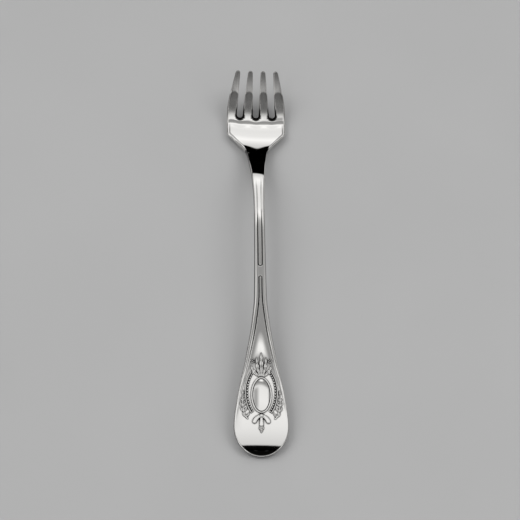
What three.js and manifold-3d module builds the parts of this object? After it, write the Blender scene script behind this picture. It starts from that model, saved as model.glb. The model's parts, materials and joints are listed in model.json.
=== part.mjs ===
// A child's table fork, struck from one piece of polished metal: four tines, a shallow bowl, an arched
// stem, and a flared handle with a thread border and a beaded oval medallion in relief.
//
// The fork is drawn flat, as its blank: u runs across it, v along it from the handle end to the tine
// tips, and w through its thickness. The blank is bent along its length and set down on a table.
// Millimetres and degrees. +Z is up, +Y points to the tines, the origin is under the fork's middle.

import * as THREE from 'three';
import { mergeVertices } from 'three/addons/utils/BufferGeometryUtils.js';
import Module from 'manifold-3d';

// Lengths along the blank
const handleLength = 56;
const stemLength = 44;
const neckLength = 16.5;
const bowlLength = 15.3;
const tineLength = 17.2;
const endLength = 10; // the rounded end of the handle, up to its widest place

// Widths across the blank
const handleWidth = 18.4;
const stemWidth = 4.3; // where the handle's flare ends
const waistWidth = 3.65; // the narrowest place of the stem
const waistPlace = 32; // from the start of the stem
const neckWidth = 4.4; // where the neck starts
const throatWidth = 7.2; // where the neck starts to open into the head
const throatPlace = 14.6; // from the start of the neck
const shoulderFootWidth = 9.5;
const shoulderWidth = 18.4;
const headWidth = 21.2;
const tipSpan = 15.2; // over the outer edges of the outer tines, at their tips
const tipWidth = 1.6; // of one tine
const slotWidth = 2.1; // at the root of a slot
const slotPitch = 5.85; // between slots, at their roots

// Where the shoulders of the head lie, from the start of the bowl
const shoulderFootPlace = 1.4;
const shoulderPlace = 6.6;
const fullWidthPlace = 8.4;

// Thicknesses at the edges, and how far the face and the back swell between them
const handleEdge = 1.5;
const stemEdge = 1.9;
const bowlEdge = 1.8;
const tipEdge = 1.1;
const handleCrown = 0.25;
const stemCrown = 0.35;
const handleBelly = 0.35;
const stemBelly = 0.8;
const bowlBelly = 0.15;
const cupDepth = 0.9; // how far the head's edges stand above its middle
const throatCupDepth = 0.4; // and the edges of the throat, which the hollow of the bowl runs out along
const throatCupPlace = 14; // from the start of the neck
const throatCupReach = 6; // to either side of that place
const faceRound = 0.35; // radius of the edges of the face
const slotRound = 0.7; // the same on the tines and round the slots
const backRound = 0.5; // radius of the edges of the back
const tipRound = 1.0; // length of the rounded end of a tine

// Slopes of the bent fork, in degrees, rising toward the tines
const endSlope = 20.5;
const rollSlope = 13;
const rollLength = 4; // the handle's end turns down over this length
const handleSlope = 8.2;
const flareSlope = 5.4;
const flarePlace = 40; // from the handle end
const stemSlope = 4.4;
const archSlope = 2;
const archLead = 20; // the stem starts to arch over this far before the neck
const neckStartSlope = -10;
const neckSlope = -23.5;
const neckSteepPlace = 8.3; // from the start of the neck
const bowlBottomPlace = 10.5; // from the start of the bowl
const slotRootSlope = 16.5;
const tineSlope = 27.5; // halfway along the tines
const tipSlope = 33;
const restDepth = 0.15; // how deep the two places that rest on the table are worn flat

// Thread border: a raised line along the edges, set off by a groove
const endBorderWidth = 0.6; // at the handle's end
const stemBorderWidth = 1.25; // where the stem starts
const grooveWidth = 0.5;
const grooveDepth = 0.25;
const handleGrooveDepth = 0.05; // beside the medallion, where the groove runs out toward the handle's end
const panelGapPlace = 6.8; // a plain gap in the grooves, from the start of the stem
const panelGapLength = 3.9;
const grooveFade = 1.5;
const neckGrooveFade = 5;

// Relief on the handle
const seatGap = 0.04; // between a motif and the face that carries it
const motifGap = 0.15; // between motifs side by side
const reliefWall = 0.12; // the upright edge of the low motifs
const medallionPlace = 20.5; // from the handle end to the middle of the oval
const medallionWidth = 5.6;
const medallionLength = 10.8;
const medallionHeight = 0.55;
const medallionWall = 0.2;
const rimWidth = 0.6;
const rimHeight = 0.5;
const fieldWidth = 0.75; // plain band between the rim and the beads
const beadDiameter = 0.75;
const beadHeight = 0.5;
const beadNeck = 0.45; // share of a bead's size that is left between two beads
const beadPitch = 0.8;
const beadOvalRise = 1.0; // the beaded oval sits this much higher than the medallion
const beadOvalStretch = 0.9; // and its half length is this much longer than an even band
const beadTopAngle = 52; // the beads run between these places on the oval
const beadBottomAngle = -52;
const outerRimWidth = 0.4;
const outerRimHeight = 0.35;
const leafTip = 0.12; // share of a leaf's width that is left at both ends
const leafLift = 0.5; // share of its height that is left there
const leafFullness = 0.8; // below 1, a leaf is fullest nearer its base
const crestLength = 8.4;
const crestMiddleWidth = 1.5;
const crestMiddleHeight = 0.6;
const crestSideWidth = 1.2;
const crestInnerFoot = 0.3; // where the inner and the outer side leaves start and end, from the axis
const crestInnerSpread = 1.6;
const crestInnerLength = 6.8;
const crestInnerHeight = 0.5;
const crestInnerBow = 0.35; // how far a leaf's middle is drawn aside
const crestOuterFoot = 0.5;
const crestOuterSpread = 3.5;
const crestOuterLength = 3.9;
const crestOuterHeight = 0.45;
const crestOuterBow = 0.5;
const flowerSpread = 2.9;
const flowerPlace = 5.5; // above the medallion's rim
const flowerRadius = 0.85;
const flowerHeight = 0.55;
const flowerPetals = 5;
const flowerNotch = 0.72; // share of the radius that is left between two petals
const ribbonLength = 3.6;
const ribbonSpread = 2.9;
const ribbonDrop = 2.7; // of the side tails
const ribbonWidth = 1.5;
const ribbonHeight = 0.6;
const ribbonBow = 0.4;
const knotRadius = 0.75;
const knotHeight = 0.78;
const huskLength = 2.7;
const huskWidth = 1.2;
const huskHeight = 0.5;
const huskSideFoot = 0.4; // where the husk's side lobes start and end, below its top
const huskSideDrop = 1.6;
const huskSideSpread = 0.72;
const huskSideWidth = 0.72;
const huskSideHeight = 0.4;
const huskSideBow = 0.2;
const sprayBelow = 8.0; // the sprays run from here below the middle of the oval
const sprayAbove = 0.2; // to here above it
const sprayStemWidth = 0.36; // at its foot
const sprayStemTipWidth = 0.22;
const sprayStemHeight = 0.3;
const sprayLeafLength = 1.9;
const sprayLeafWidth = 0.85;
const sprayLeafHeight = 0.4;
const sprayLeafBow = 0.1;
const sprayLeafAngle = 38;
const sprayLeafPairs = 4;

// How many steps the curved pieces are drawn in
const flankSteps = 12;
const endSteps = 16;
const stemSteps = 6;
const neckSteps = 8;
const bowlSteps = 8;
const slotRootSteps = 4;
const tineSteps = 7;
const tipSteps = 4;
const medallionSteps = 24;
const medallionRings = 5;
const rimSteps = 32;
const outerRimSteps = 16;
const beadSteps = 4; // for each bead and for each petal
const moundRings = 3;
const knotSteps = 14;
const leafSteps = 6;
const smallLeafSteps = 5;
const sprayGuides = 8;
const sprayStemSteps = 14;

// Stations along the blank, measured from the handle end
const stemStart = handleLength;
const neckStart = stemStart + stemLength;
const bowlStart = neckStart + neckLength;
const slotRoot = bowlStart + bowlLength;
const slotRadius = slotWidth / 2;
const tineStart = slotRoot + slotRadius;
const tineTip = slotRoot + tineLength;
const tipPitch = (tipSpan - tipWidth) / 3;
const panelGapStart = stemStart + panelGapPlace;
const panelGapEnd = panelGapStart + panelGapLength;

const { lerp, clamp, smoothstep, degToRad } = THREE.MathUtils;

// A smooth curve through [place, value] keys. It levels off at both ends and never overshoots a key.
function through(keys, place) {
  const last = keys.length - 1;
  const steepness = (k) => (keys[k + 1][1] - keys[k][1]) / (keys[k + 1][0] - keys[k][0]);
  const tangent = (k) => {
    if (k === 0 || k === last) return 0;
    const before = steepness(k - 1);
    const after = steepness(k);
    return before * after > 0 ? (2 * before * after) / (before + after) : 0;
  };
  const x = clamp(place, keys[0][0], keys[last][0]);
  let k = 0;
  while (k < last - 1 && x > keys[k + 1][0]) k += 1;
  const span = keys[k + 1][0] - keys[k][0];
  const t = (x - keys[k][0]) / span;
  const bow = tangent(k) * t * (1 - t) ** 2 - tangent(k + 1) * t ** 2 * (1 - t);
  return lerp(keys[k][1], keys[k + 1][1], t * t * (3 - 2 * t)) + span * bow;
}

// Even stations between two places
function stations(from, to, count) {
  return Array.from({ length: count + 1 }, (_, i) => lerp(from, to, i / count));
}

// Outline of the blank: half its width at a place. The flare's shape is a share of its length against
// a share of the way from the handle's width to the stem's.
const flare = [[0, 0], [0.2, 0.15], [0.5, 0.55], [0.8, 0.88], [1, 1]];
const outline = [
  ...flare.map(([along, share]) => [
    lerp(endLength, stemStart, along),
    lerp(handleWidth, stemWidth, share) / 2,
  ]),
  [stemStart + waistPlace, waistWidth / 2],
  [neckStart, neckWidth / 2],
  [neckStart + throatPlace, throatWidth / 2],
  [bowlStart + shoulderFootPlace, shoulderFootWidth / 2],
  [bowlStart + shoulderPlace, shoulderWidth / 2],
  [bowlStart + fullWidthPlace, headWidth / 2],
  [tineStart, headWidth / 2],
  [tineTip, tipSpan / 2],
  [2 * tineTip - tineStart, tipSpan - headWidth / 2], // the outer tines' edges run straight past their tips
];
const halfWidth = (v) => through(outline, v);

// Section of the blank at a place
const edgeKeys = [[endLength, handleEdge], [stemStart, stemEdge], [bowlStart, bowlEdge], [tineTip, tipEdge]];
const crownKeys = [[endLength, handleCrown], [stemStart, stemCrown], [neckStart, stemCrown], [bowlStart, 0]];
const bellyKeys = [
  [endLength, handleBelly],
  [stemStart, stemBelly],
  [neckStart, stemBelly],
  [bowlStart, bowlBelly],
];
const cupKeys = [[neckStart, 0], [bowlStart + shoulderPlace, cupDepth]];
const throatCupKeys = [
  [neckStart + throatCupPlace - throatCupReach, 0],
  [neckStart + throatCupPlace, throatCupDepth],
  [neckStart + throatCupPlace + throatCupReach, 0],
];
const borderKeys = [[endLength, endBorderWidth], [stemStart, stemBorderWidth]];
const grooveKeys = [
  [endLength, 0],
  [medallionPlace, handleGrooveDepth],
  [stemStart, grooveDepth],
  [panelGapStart - grooveFade, grooveDepth],
  [panelGapStart, 0],
  [panelGapEnd, 0],
  [panelGapEnd + grooveFade, grooveDepth],
  [neckStart, grooveDepth],
  [neckStart + neckGrooveFade, 0],
];

// The border can take no more than this share of the half width, so that it fits on the stem
const borderShare = 0.6;
const borderAt = (v, half) => Math.min(through(borderKeys, v), borderShare * half);

// How far a rounded edge has dropped at a distance from it
function roundedDrop(fromEdge, radius) {
  const left = Math.max(0, radius - Math.max(0, fromEdge));
  return radius - Math.sqrt(radius ** 2 - left ** 2);
}

function groove(fromEdge, half, v) {
  const across = (fromEdge - borderAt(v, half)) / (grooveWidth / 2);
  return through(grooveKeys, v) * Math.max(0, 1 - across ** 2);
}

const faceRoundAt = (v) => lerp(faceRound, slotRound, smoothstep(v, bowlStart, slotRoot));
const swell = (fromEdge, half) => 1 - (1 - fromEdge / half) ** 2;

function faceLevel(fromEdge, half, v) {
  const crown = through(crownKeys, v) * swell(fromEdge, half);
  return through(edgeKeys, v) / 2 + crown - groove(fromEdge, half, v);
}

function backLevel(fromEdge, half, v) {
  return -through(edgeKeys, v) / 2 - through(bellyKeys, v) * swell(fromEdge, half);
}

function faceHeight(fromEdge, half, v) {
  return faceLevel(fromEdge, half, v) - roundedDrop(fromEdge, faceRoundAt(v));
}

function backHeight(fromEdge, half, v) {
  return backLevel(fromEdge, half, v) + roundedDrop(fromEdge, backRound);
}

function cup(u, v) {
  const bowl = through(cupKeys, v) * (u / (headWidth / 2)) ** 2;
  return bowl + through(throatCupKeys, v) * (u / halfWidth(v)) ** 2;
}

// The bend: the middle of the blank as a line in Y and Z, found by adding up short steps
const slopes = [
  [0, endSlope],
  [rollLength, rollSlope],
  [medallionPlace, handleSlope],
  [flarePlace, flareSlope],
  [stemStart, stemSlope],
  [neckStart - archLead, archSlope],
  [neckStart, neckStartSlope],
  [neckStart + neckSteepPlace, neckSlope],
  [bowlStart + bowlBottomPlace, 0],
  [slotRoot, slotRootSlope],
  [(slotRoot + tineTip) / 2, tineSlope],
  [tineTip, tipSlope],
];
const bendStep = 0.25;

function bentLine(tilt) {
  const slopeAt = (v) => degToRad(through(slopes, v) + tilt);
  const line = [[0, 0]];
  for (let i = 0; i * bendStep < tineTip + bendStep; i += 1) {
    const slope = slopeAt((i + 0.5) * bendStep);
    line.push([line[i][0] + bendStep * Math.cos(slope), line[i][1] + bendStep * Math.sin(slope)]);
  }
  return ([u, v, w]) => {
    const i = Math.floor(v / bendStep);
    const share = v / bendStep - i;
    const slope = slopeAt(v);
    const y = lerp(line[i][0], line[i + 1][0], share) - w * Math.sin(slope);
    const z = lerp(line[i][1], line[i + 1][1], share) + w * Math.cos(slope);
    return [u, y, z];
  };
}

// The lowest point of the back's middle line between two places
function lowestPoint(bend, from, to) {
  const backs = stations(from, to, Math.ceil((to - from) / bendStep)).map((v) => {
    const half = v < endLength ? endLength : halfWidth(v);
    return bend([0, v, backHeight(Math.min(v, half), half, v)]);
  });
  return backs.reduce((lowest, point) => (point[2] < lowest[2] ? point : lowest));
}

// The fork rests on the bottom of its bowl and on the end of its handle
function restingTilt() {
  let tilt = 0;
  for (let round = 0; round < 3; round += 1) {
    const bend = bentLine(tilt);
    const end = lowestPoint(bend, 0, endLength);
    const bowl = lowestPoint(bend, neckStart, slotRoot);
    tilt -= THREE.MathUtils.radToDeg(Math.atan2(bowl[2] - end[2], bowl[1] - end[1]));
  }
  return tilt;
}

const bend = bentLine(restingTilt());
const tableHeight = lowestPoint(bend, neckStart, slotRoot)[2] + restDepth;

function place(point) {
  const [x, y, z] = bend(point);
  return [x, y, Math.max(0, z - tableHeight)];
}

// Solids are gathered as triangles of [u, v, w] points

// The skin over rows of points
function addSkin(triangles, rows) {
  for (let i = 1; i < rows.length; i += 1) {
    for (let j = 1; j < rows[i].length; j += 1) {
      const corners = [rows[i - 1][j - 1], rows[i][j - 1], rows[i][j], rows[i - 1][j]];
      triangles.push([corners[0], corners[1], corners[2]], [corners[0], corners[2], corners[3]]);
    }
  }
}

// A slab over sections, each with a face and a back from left to right
function addSlab(triangles, sections, leftWall = true, rightWall = true) {
  addSkin(triangles, sections.map((section) => section.face).toReversed());
  addSkin(triangles, sections.map((section) => section.back));
  const wall = (end) => sections.map((section) => [section.face.at(end), section.back.at(end)]);
  if (leftWall) addSkin(triangles, wall(0));
  if (rightWall) addSkin(triangles, wall(-1).toReversed());
}

// The flat end of a slab, facing on along the blank or back along it
function addCap(triangles, section, onward) {
  const loop = [...section.back, ...section.face.toReversed()];
  const flat = ([u, v]) => new THREE.Vector2(u, v);
  const start = flat(section.face[0]);
  const heading = flat(section.face.at(-1)).sub(start).normalize();
  const across = (point) => flat(point).sub(start).dot(heading);
  const contour = loop.map((point) => new THREE.Vector2(across(point), point[2]));
  THREE.ShapeUtils.triangulateShape(contour, []).forEach((corners) => {
    const triangle = corners.map((corner) => loop[corner]);
    triangles.push(onward ? triangle.toReversed() : triangle);
  });
}

// Triangles to a closed geometry: bent, set down, shared corners merged, empty triangles left out
const mergeDistance = 1e-4;

function closedGeometry(positions, index) {
  const loose = new THREE.BufferGeometry();
  loose.setAttribute('position', new THREE.BufferAttribute(positions, 3));
  if (index) loose.setIndex(new THREE.BufferAttribute(index, 1));
  const merged = mergeVertices(loose, mergeDistance);
  const kept = [];
  for (let i = 0; i < merged.index.count; i += 3) {
    const corners = [0, 1, 2].map((k) => merged.index.getX(i + k));
    if (new Set(corners).size === 3) kept.push(...corners);
  }
  merged.setIndex(kept);
  return merged;
}

function solidFrom(triangles) {
  return closedGeometry(new Float32Array(triangles.flat().flatMap(place)));
}

const wasm = await Module();
wasm.setup();

function fused(geometries) {
  const bodies = geometries.map((geometry) => new wasm.Manifold(new wasm.Mesh({
    numProp: 3,
    vertProperties: geometry.attributes.position.array,
    triVerts: new Uint32Array(geometry.index.array),
  })));
  const mesh = bodies.reduce((whole, body) => whole.add(body)).getMesh();
  return closedGeometry(mesh.vertProperties, mesh.triVerts);
}

// The body of the fork

// Columns of a section, as distances from the axis: on the stem they follow the thread border, on the
// head they follow the slots
const faceColumns = 6;
const edgeColumns = [1, 0.3, 0]; // shares of the edge radius
const edgeShare = 0.42; // the most of a tine's width or thickness that one rounded edge takes

function borderColumns(half, v) {
  const border = borderAt(v, half);
  const panel = half - border - grooveWidth / 2;
  const inner = stations(0, panel, faceColumns);
  const thread = border - grooveWidth / 2;
  return [
    ...inner,
    half - border,
    half - thread,
    half - (thread + faceRound) / 2,
    ...edgeColumns.map((share) => half - share * faceRound),
  ];
}

function slotColumns(inner, outer, v) {
  const round = Math.min(faceRoundAt(v), (outer - inner) * edgeShare);
  const rising = edgeColumns.toReversed().map((share) => inner + share * round);
  const falling = edgeColumns.map((share) => outer - share * round);
  return [...rising, (inner + outer) / 2, ...falling];
}

// Between the stem and the slots, lines run from the neck to the slots' middles
const slotLine = (v) => slotPitch * Math.min(1, halfWidth(v) / (headWidth / 2));

function neckColumns(v) {
  const half = halfWidth(v);
  const onStem = borderColumns(half, v);
  const onHead = [...slotColumns(0, slotLine(v), v), ...slotColumns(slotLine(v), half, v).slice(1)];
  const share = smoothstep(v, neckStart, bowlStart);
  return onStem.map((column, k) => lerp(column, onHead[k], share));
}

function sectionAt(v) {
  const half = halfWidth(v);
  const right = neckColumns(v);
  const across = [...right.slice(1).toReversed().map((column) => -column), ...right];
  const at = (height) => across.map((u) => [u, v, height(half - Math.abs(u), half, v) + cup(u, v)]);
  return { face: at(faceHeight), back: at(backHeight) };
}

function makeShaft(from, to, count, extra = []) {
  const places = [...stations(from, to, count), ...extra].sort((a, b) => a - b);
  const sections = places.map(sectionAt);
  const triangles = [];
  addSlab(triangles, sections);
  addCap(triangles, sections[0], false);
  addCap(triangles, sections.at(-1), true);
  return solidFrom(triangles);
}

const makeStem = () => makeShaft(stemStart, neckStart, stemSteps, [
  panelGapStart - grooveFade,
  panelGapStart,
  panelGapEnd,
  panelGapEnd + grooveFade,
]);

const makeNeck = () => makeShaft(neckStart, bowlStart, neckSteps, [neckStart + neckGrooveFade]);

// The handle: half sections from the axis over the edge and back, swept round the outline. Beside the
// flare they lie across the axis, and round the end they turn about the middle of the widest place.
function halfSection(edgeU, edgeV, axisV) {
  const half = Math.hypot(edgeU, edgeV - axisV);
  const columns = borderColumns(half, edgeV);
  const at = (column, height) => {
    const share = column / half;
    const v = lerp(axisV, edgeV, share);
    return [edgeU * share, v, height(half - column, half, v)];
  };
  return [
    ...columns.map((column) => at(column, faceHeight)),
    ...columns.toReversed().map((column) => at(column, backHeight)),
  ];
}

function makeHandle() {
  const flankPlaces = stations(endLength, handleLength, flankSteps);
  const flank = (side) => flankPlaces.map((v) => halfSection(side * halfWidth(v), v, v));
  const end = stations(0, Math.PI, endSteps).slice(1, -1).map((turn) => halfSection(
    (handleWidth / 2) * Math.cos(turn),
    endLength * (1 - Math.sin(turn)),
    endLength,
  ));
  const triangles = [];
  addSkin(triangles, [...flank(1).toReversed(), ...end, ...flank(-1)]);
  addCap(triangles, sectionAt(handleLength), true);
  return solidFrom(triangles);
}

// The head is four strips side by side, which part at the slots
const tineNames = ['tine_outer_left', 'tine_inner_left', 'tine_inner_right', 'tine_outer_right'];

// A slot's middle line, its half width, and the distance of a point of the head from its edge
const tineShare = (v) => clamp((v - tineStart) / (tineTip - tineStart), 0, 1);
const slotMiddle = (v) => lerp(slotPitch, tipPitch, tineShare(v));

function slotHalf(v) {
  if (v < slotRoot) return 0;
  if (v < tineStart) return Math.sqrt(Math.max(0, slotRadius ** 2 - (tineStart - v) ** 2));
  return lerp(slotRadius, (tipPitch - tipWidth) / 2, tineShare(v));
}

function fromHeadEdge(u, v) {
  const toSlot = (middle) => (v < tineStart
    ? Math.hypot(u - middle, tineStart - v) - slotRadius
    : Math.abs(u - middle) - slotHalf(v));
  const toSlots = [-1, 0, 1].map((side) => toSlot(side * slotMiddle(v)));
  return Math.min(halfWidth(v) - Math.abs(u), ...toSlots);
}

// How far a place is into the rounded end of a tine, where it is drawn in and thinned down to a small flat
const pastTip = (v) => clamp((v - (tineTip - tipRound)) / tipRound, 0, 1);
const tipThinning = 0.8;
const tipTurn = degToRad(75);

// The two edges of a strip
function stripEdges(strip, v) {
  const half = halfWidth(v);
  const middle = v < slotRoot ? slotLine(v) : slotMiddle(v);
  const gap = slotHalf(v);
  const [inner, outer] = [[gap, middle - gap], [middle + gap, half]][strip < 2 ? 1 - strip : strip - 2];
  const drawnIn = (1 - Math.sqrt(1 - pastTip(v) ** 2)) * (outer - inner) / 2;
  return strip < 2 ? [-outer + drawnIn, -inner - drawnIn] : [inner + drawnIn, outer - drawnIn];
}

function stripSection(strip, v) {
  const [left, right] = stripEdges(strip, v);
  const half = halfWidth(v);
  const thinning = Math.sqrt(1 - (tipThinning * pastTip(v)) ** 2);
  const most = Math.min(edgeShare * (right - left), edgeShare * through(edgeKeys, v));
  const at = (level, side, radius) => slotColumns(left, right, v).map((u) => {
    const fromEdge = v < tineStart ? fromHeadEdge(u, v) : Math.min(u - left, right - u);
    const drop = roundedDrop(fromEdge, Math.min(radius, most));
    const height = level(half - Math.abs(u), half, v) - side * drop;
    return [u, v, height * thinning + cup(u, v)];
  });
  return { face: at(faceLevel, 1, faceRoundAt(v)), back: at(backLevel, -1, backRound) };
}

const rootTurns = stations(0, Math.PI / 2, slotRootSteps).slice(1);
const rootPlaces = rootTurns.map((turn) => tineStart - slotRadius * Math.cos(turn));

function makeBowl() {
  const openPlaces = [...stations(bowlStart, slotRoot - slotRound, bowlSteps), slotRoot];
  const triangles = [];
  tineNames.forEach((_, strip) => {
    const open = openPlaces.map((v) => stripSection(strip, v));
    const stub = [slotRoot, ...rootPlaces].map((v) => stripSection(strip, v));
    addSlab(triangles, open, strip === 0, strip === 3);
    addSlab(triangles, stub);
    addCap(triangles, stub.at(-1), true);
  });
  addCap(triangles, sectionAt(bowlStart), false);
  return solidFrom(triangles);
}

function makeTine(strip) {
  const tipPlaces = stations(0, tipTurn, tipSteps).map((turn) => tineTip - tipRound * (1 - Math.sin(turn)));
  const places = [...stations(tineStart, tineTip - tipRound, tineSteps), ...tipPlaces.slice(1)];
  const sections = places.map((v) => stripSection(strip, v));
  const triangles = [];
  addSlab(triangles, sections);
  addCap(triangles, sections[0], false);
  addCap(triangles, sections.at(-1), true);
  return solidFrom(triangles);
}

// Relief on the handle's face

// How far the edge is from the axis in the direction of a point, which fans out round the end
function handleHalf(u, v) {
  if (v >= endLength) return halfWidth(v);
  const past = endLength - v;
  return Math.hypot(u, past) / Math.hypot(u / (handleWidth / 2), past / endLength);
}

function reliefPoint(u, v, height) {
  const half = handleHalf(u, v);
  const fromEdge = half - Math.hypot(u, Math.max(0, endLength - v));
  return [u, v, faceHeight(fromEdge, half, v) + seatGap + height];
}

// A raised ridge along a curve of the face: [share of the half width, share of the height] across it
const ridge = [[-1, 0], [0, 1], [1, 0]];

function makeStrip(curve, steps, halfWidthAt, heightAt, closed = false) {
  const sections = stations(0, 1, steps).map((t) => {
    const middle = curve.getPoint(t);
    const along = curve.getTangent(t);
    const half = halfWidthAt(t);
    const row = (lift) => ridge.map(([across, share]) => reliefPoint(
      middle.x + across * half * along.y,
      middle.y - across * half * along.x,
      lift(share),
    ));
    return { face: row((share) => lerp(reliefWall, heightAt(t), share)), back: row(() => 0) };
  });
  if (closed) sections.splice(-1, 1, sections[0]);
  const triangles = [];
  addSlab(triangles, sections);
  if (!closed) {
    addCap(triangles, sections[0], false);
    addCap(triangles, sections.at(-1), true);
  }
  return solidFrom(triangles);
}

// A raised mound with any outline round its middle
function makeMound(middleU, middleV, rings, segments, reach, lift) {
  const turns = stations(0, 2 * Math.PI, segments);
  const ring = (share, height) => turns.map((turn) => {
    const [u, v] = reach(turn);
    return reliefPoint(middleU + share * u, middleV + share * v, height);
  });
  const layer = (heightAt) => stations(0, 1, rings).map((share) => ring(share, heightAt(share)));
  const face = layer(lift);
  const back = layer(() => 0);
  const triangles = [];
  addSkin(triangles, face);
  addSkin(triangles, back.toReversed());
  addSkin(triangles, [face.at(-1), back.at(-1)]);
  return solidFrom(triangles);
}

// Half widths and half lengths of the ovals, from the middle outward
const rimReach = motifGap + rimWidth / 2;
const rimHalf = [medallionWidth / 2 + rimReach, medallionLength / 2 + rimReach];
const beadReach = rimReach + rimWidth / 2 + fieldWidth + beadDiameter / 2;
const beadHalf = [medallionWidth / 2 + beadReach, medallionLength / 2 + beadReach + beadOvalStretch];
const outerReach = beadDiameter / 2 + motifGap + outerRimWidth / 2;
const outerHalf = [beadHalf[0] + outerReach, beadHalf[1] + outerReach];
const beadOvalPlace = medallionPlace + beadOvalRise;
const crestBase = medallionPlace + rimHalf[1] + rimWidth / 2 + motifGap;
const ribbonTop = medallionPlace - rimHalf[1] - rimWidth / 2 - motifGap;

function makeMedallion() {
  const reach = (turn) => [(medallionWidth / 2) * Math.cos(turn), (medallionLength / 2) * Math.sin(turn)];
  const dome = (share) => medallionWall + (medallionHeight - medallionWall) * Math.sqrt(1 - share ** 2);
  return makeMound(0, medallionPlace, medallionRings, medallionSteps, reach, dome);
}

function makeRim() {
  const oval = new THREE.EllipseCurve(0, medallionPlace, ...rimHalf);
  return makeStrip(oval, rimSteps, () => rimWidth / 2, () => rimHeight, true);
}

// An arc of an oval on one side of the medallion, from the ribbon up to the crest
function sideArc(half, side) {
  const turn = (angle) => degToRad(side > 0 ? angle : 180 - angle);
  const [from, to] = [turn(beadBottomAngle), turn(beadTopAngle)];
  return new THREE.EllipseCurve(0, beadOvalPlace, ...half, from, to, side < 0);
}

function makeBeads(side) {
  const arc = sideArc(beadHalf, side);
  const evenly = { getPoint: (t) => arc.getPointAt(t), getTangent: (t) => arc.getTangentAt(t) };
  const count = Math.round(arc.getLength() / beadPitch);
  const bulge = (t) => lerp(beadNeck, 1, Math.abs(Math.sin(Math.PI * count * t)));
  const half = (t) => (beadDiameter / 2) * bulge(t);
  return makeStrip(evenly, beadSteps * count, half, (t) => beadHeight * bulge(t));
}

function makeOuterRim(side) {
  return makeStrip(sideArc(outerHalf, side), outerRimSteps, () => outerRimWidth / 2, () => outerRimHeight);
}

// A leaf from its base to its tip, with its middle drawn aside
function makeLeaf(base, tip, aside, width, height, steps = leafSteps) {
  const [from, to] = [new THREE.Vector2(...base), new THREE.Vector2(...tip)];
  const middle = from.clone().lerp(to, 0.5);
  const across = to.clone().sub(from).rotateAround(new THREE.Vector2(), Math.PI / 2).normalize();
  const curve = new THREE.QuadraticBezierCurve(from, middle.addScaledVector(across, aside), to);
  const fullness = (t) => lerp(leafTip, 1, Math.sin(Math.PI * t ** leafFullness));
  const half = (t) => (width / 2) * fullness(t);
  return makeStrip(curve, steps, half, (t) => height * lerp(leafLift, 1, fullness(t)));
}

function makeCrest() {
  const middleTip = [0, crestBase + crestLength];
  const leaves = [makeLeaf([0, crestBase], middleTip, 0, crestMiddleWidth, crestMiddleHeight)];
  [-1, 1].forEach((side) => {
    const innerFoot = [side * crestInnerFoot, crestBase];
    const innerTip = [side * crestInnerSpread, crestBase + crestInnerLength];
    leaves.push(makeLeaf(innerFoot, innerTip, -side * crestInnerBow, crestSideWidth, crestInnerHeight));
    const outerFoot = [side * crestOuterFoot, crestBase];
    const outerTip = [side * crestOuterSpread, crestBase + crestOuterLength];
    leaves.push(makeLeaf(outerFoot, outerTip, side * crestOuterBow, crestSideWidth, crestOuterHeight));
  });
  return fused(leaves);
}

function makeFlower(side) {
  const lobes = (turn) => lerp(flowerNotch, 1, Math.abs(Math.cos((flowerPetals * turn) / 2)));
  const reach = (turn) => [Math.cos(turn), Math.sin(turn)].map((part) => flowerRadius * lobes(turn) * part);
  const lift = (share) => lerp(flowerHeight, reliefWall, share ** 2);
  const steps = beadSteps * flowerPetals;
  return makeMound(side * flowerSpread, crestBase + flowerPlace, moundRings, steps, reach, lift);
}

function makeRibbon() {
  const knotPlace = ribbonTop - knotRadius;
  const reach = (turn) => [knotRadius * Math.cos(turn), knotRadius * Math.sin(turn)];
  const lift = (share) => lerp(knotHeight, reliefWall, share ** 2);
  const knot = makeMound(0, knotPlace, moundRings, knotSteps, reach, lift);
  const tails = [-1, 1].map((side) => {
    const end = [side * ribbonSpread, ribbonTop - ribbonDrop];
    return makeLeaf([0, knotPlace], end, -side * ribbonBow, ribbonWidth, ribbonHeight);
  });
  const drop = makeLeaf([0, knotPlace], [0, ribbonTop - ribbonLength], 0, ribbonWidth, ribbonHeight);
  return fused([knot, ...tails, drop]);
}

function makeHusk() {
  const top = ribbonTop - ribbonLength - motifGap;
  const lobes = [-1, 1].map((side) => makeLeaf(
    [0, top - huskSideFoot],
    [side * huskSideSpread, top - huskSideDrop],
    -side * huskSideBow,
    huskSideWidth,
    huskSideHeight,
    smallLeafSteps,
  ));
  return fused([makeLeaf([0, top], [0, top - huskLength], 0, huskWidth, huskHeight), ...lobes]);
}

// The sprays run midway between the outer rim and the groove of the border
function sprayRoom(v) {
  const half = halfWidth(v);
  const up = (v - beadOvalPlace) / (outerHalf[1] + outerRimWidth / 2);
  const inner = (outerHalf[0] + outerRimWidth / 2) * Math.sqrt(Math.max(0, 1 - up ** 2));
  return [inner + motifGap, half - borderAt(v, half) - grooveWidth / 2 - motifGap];
}

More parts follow.
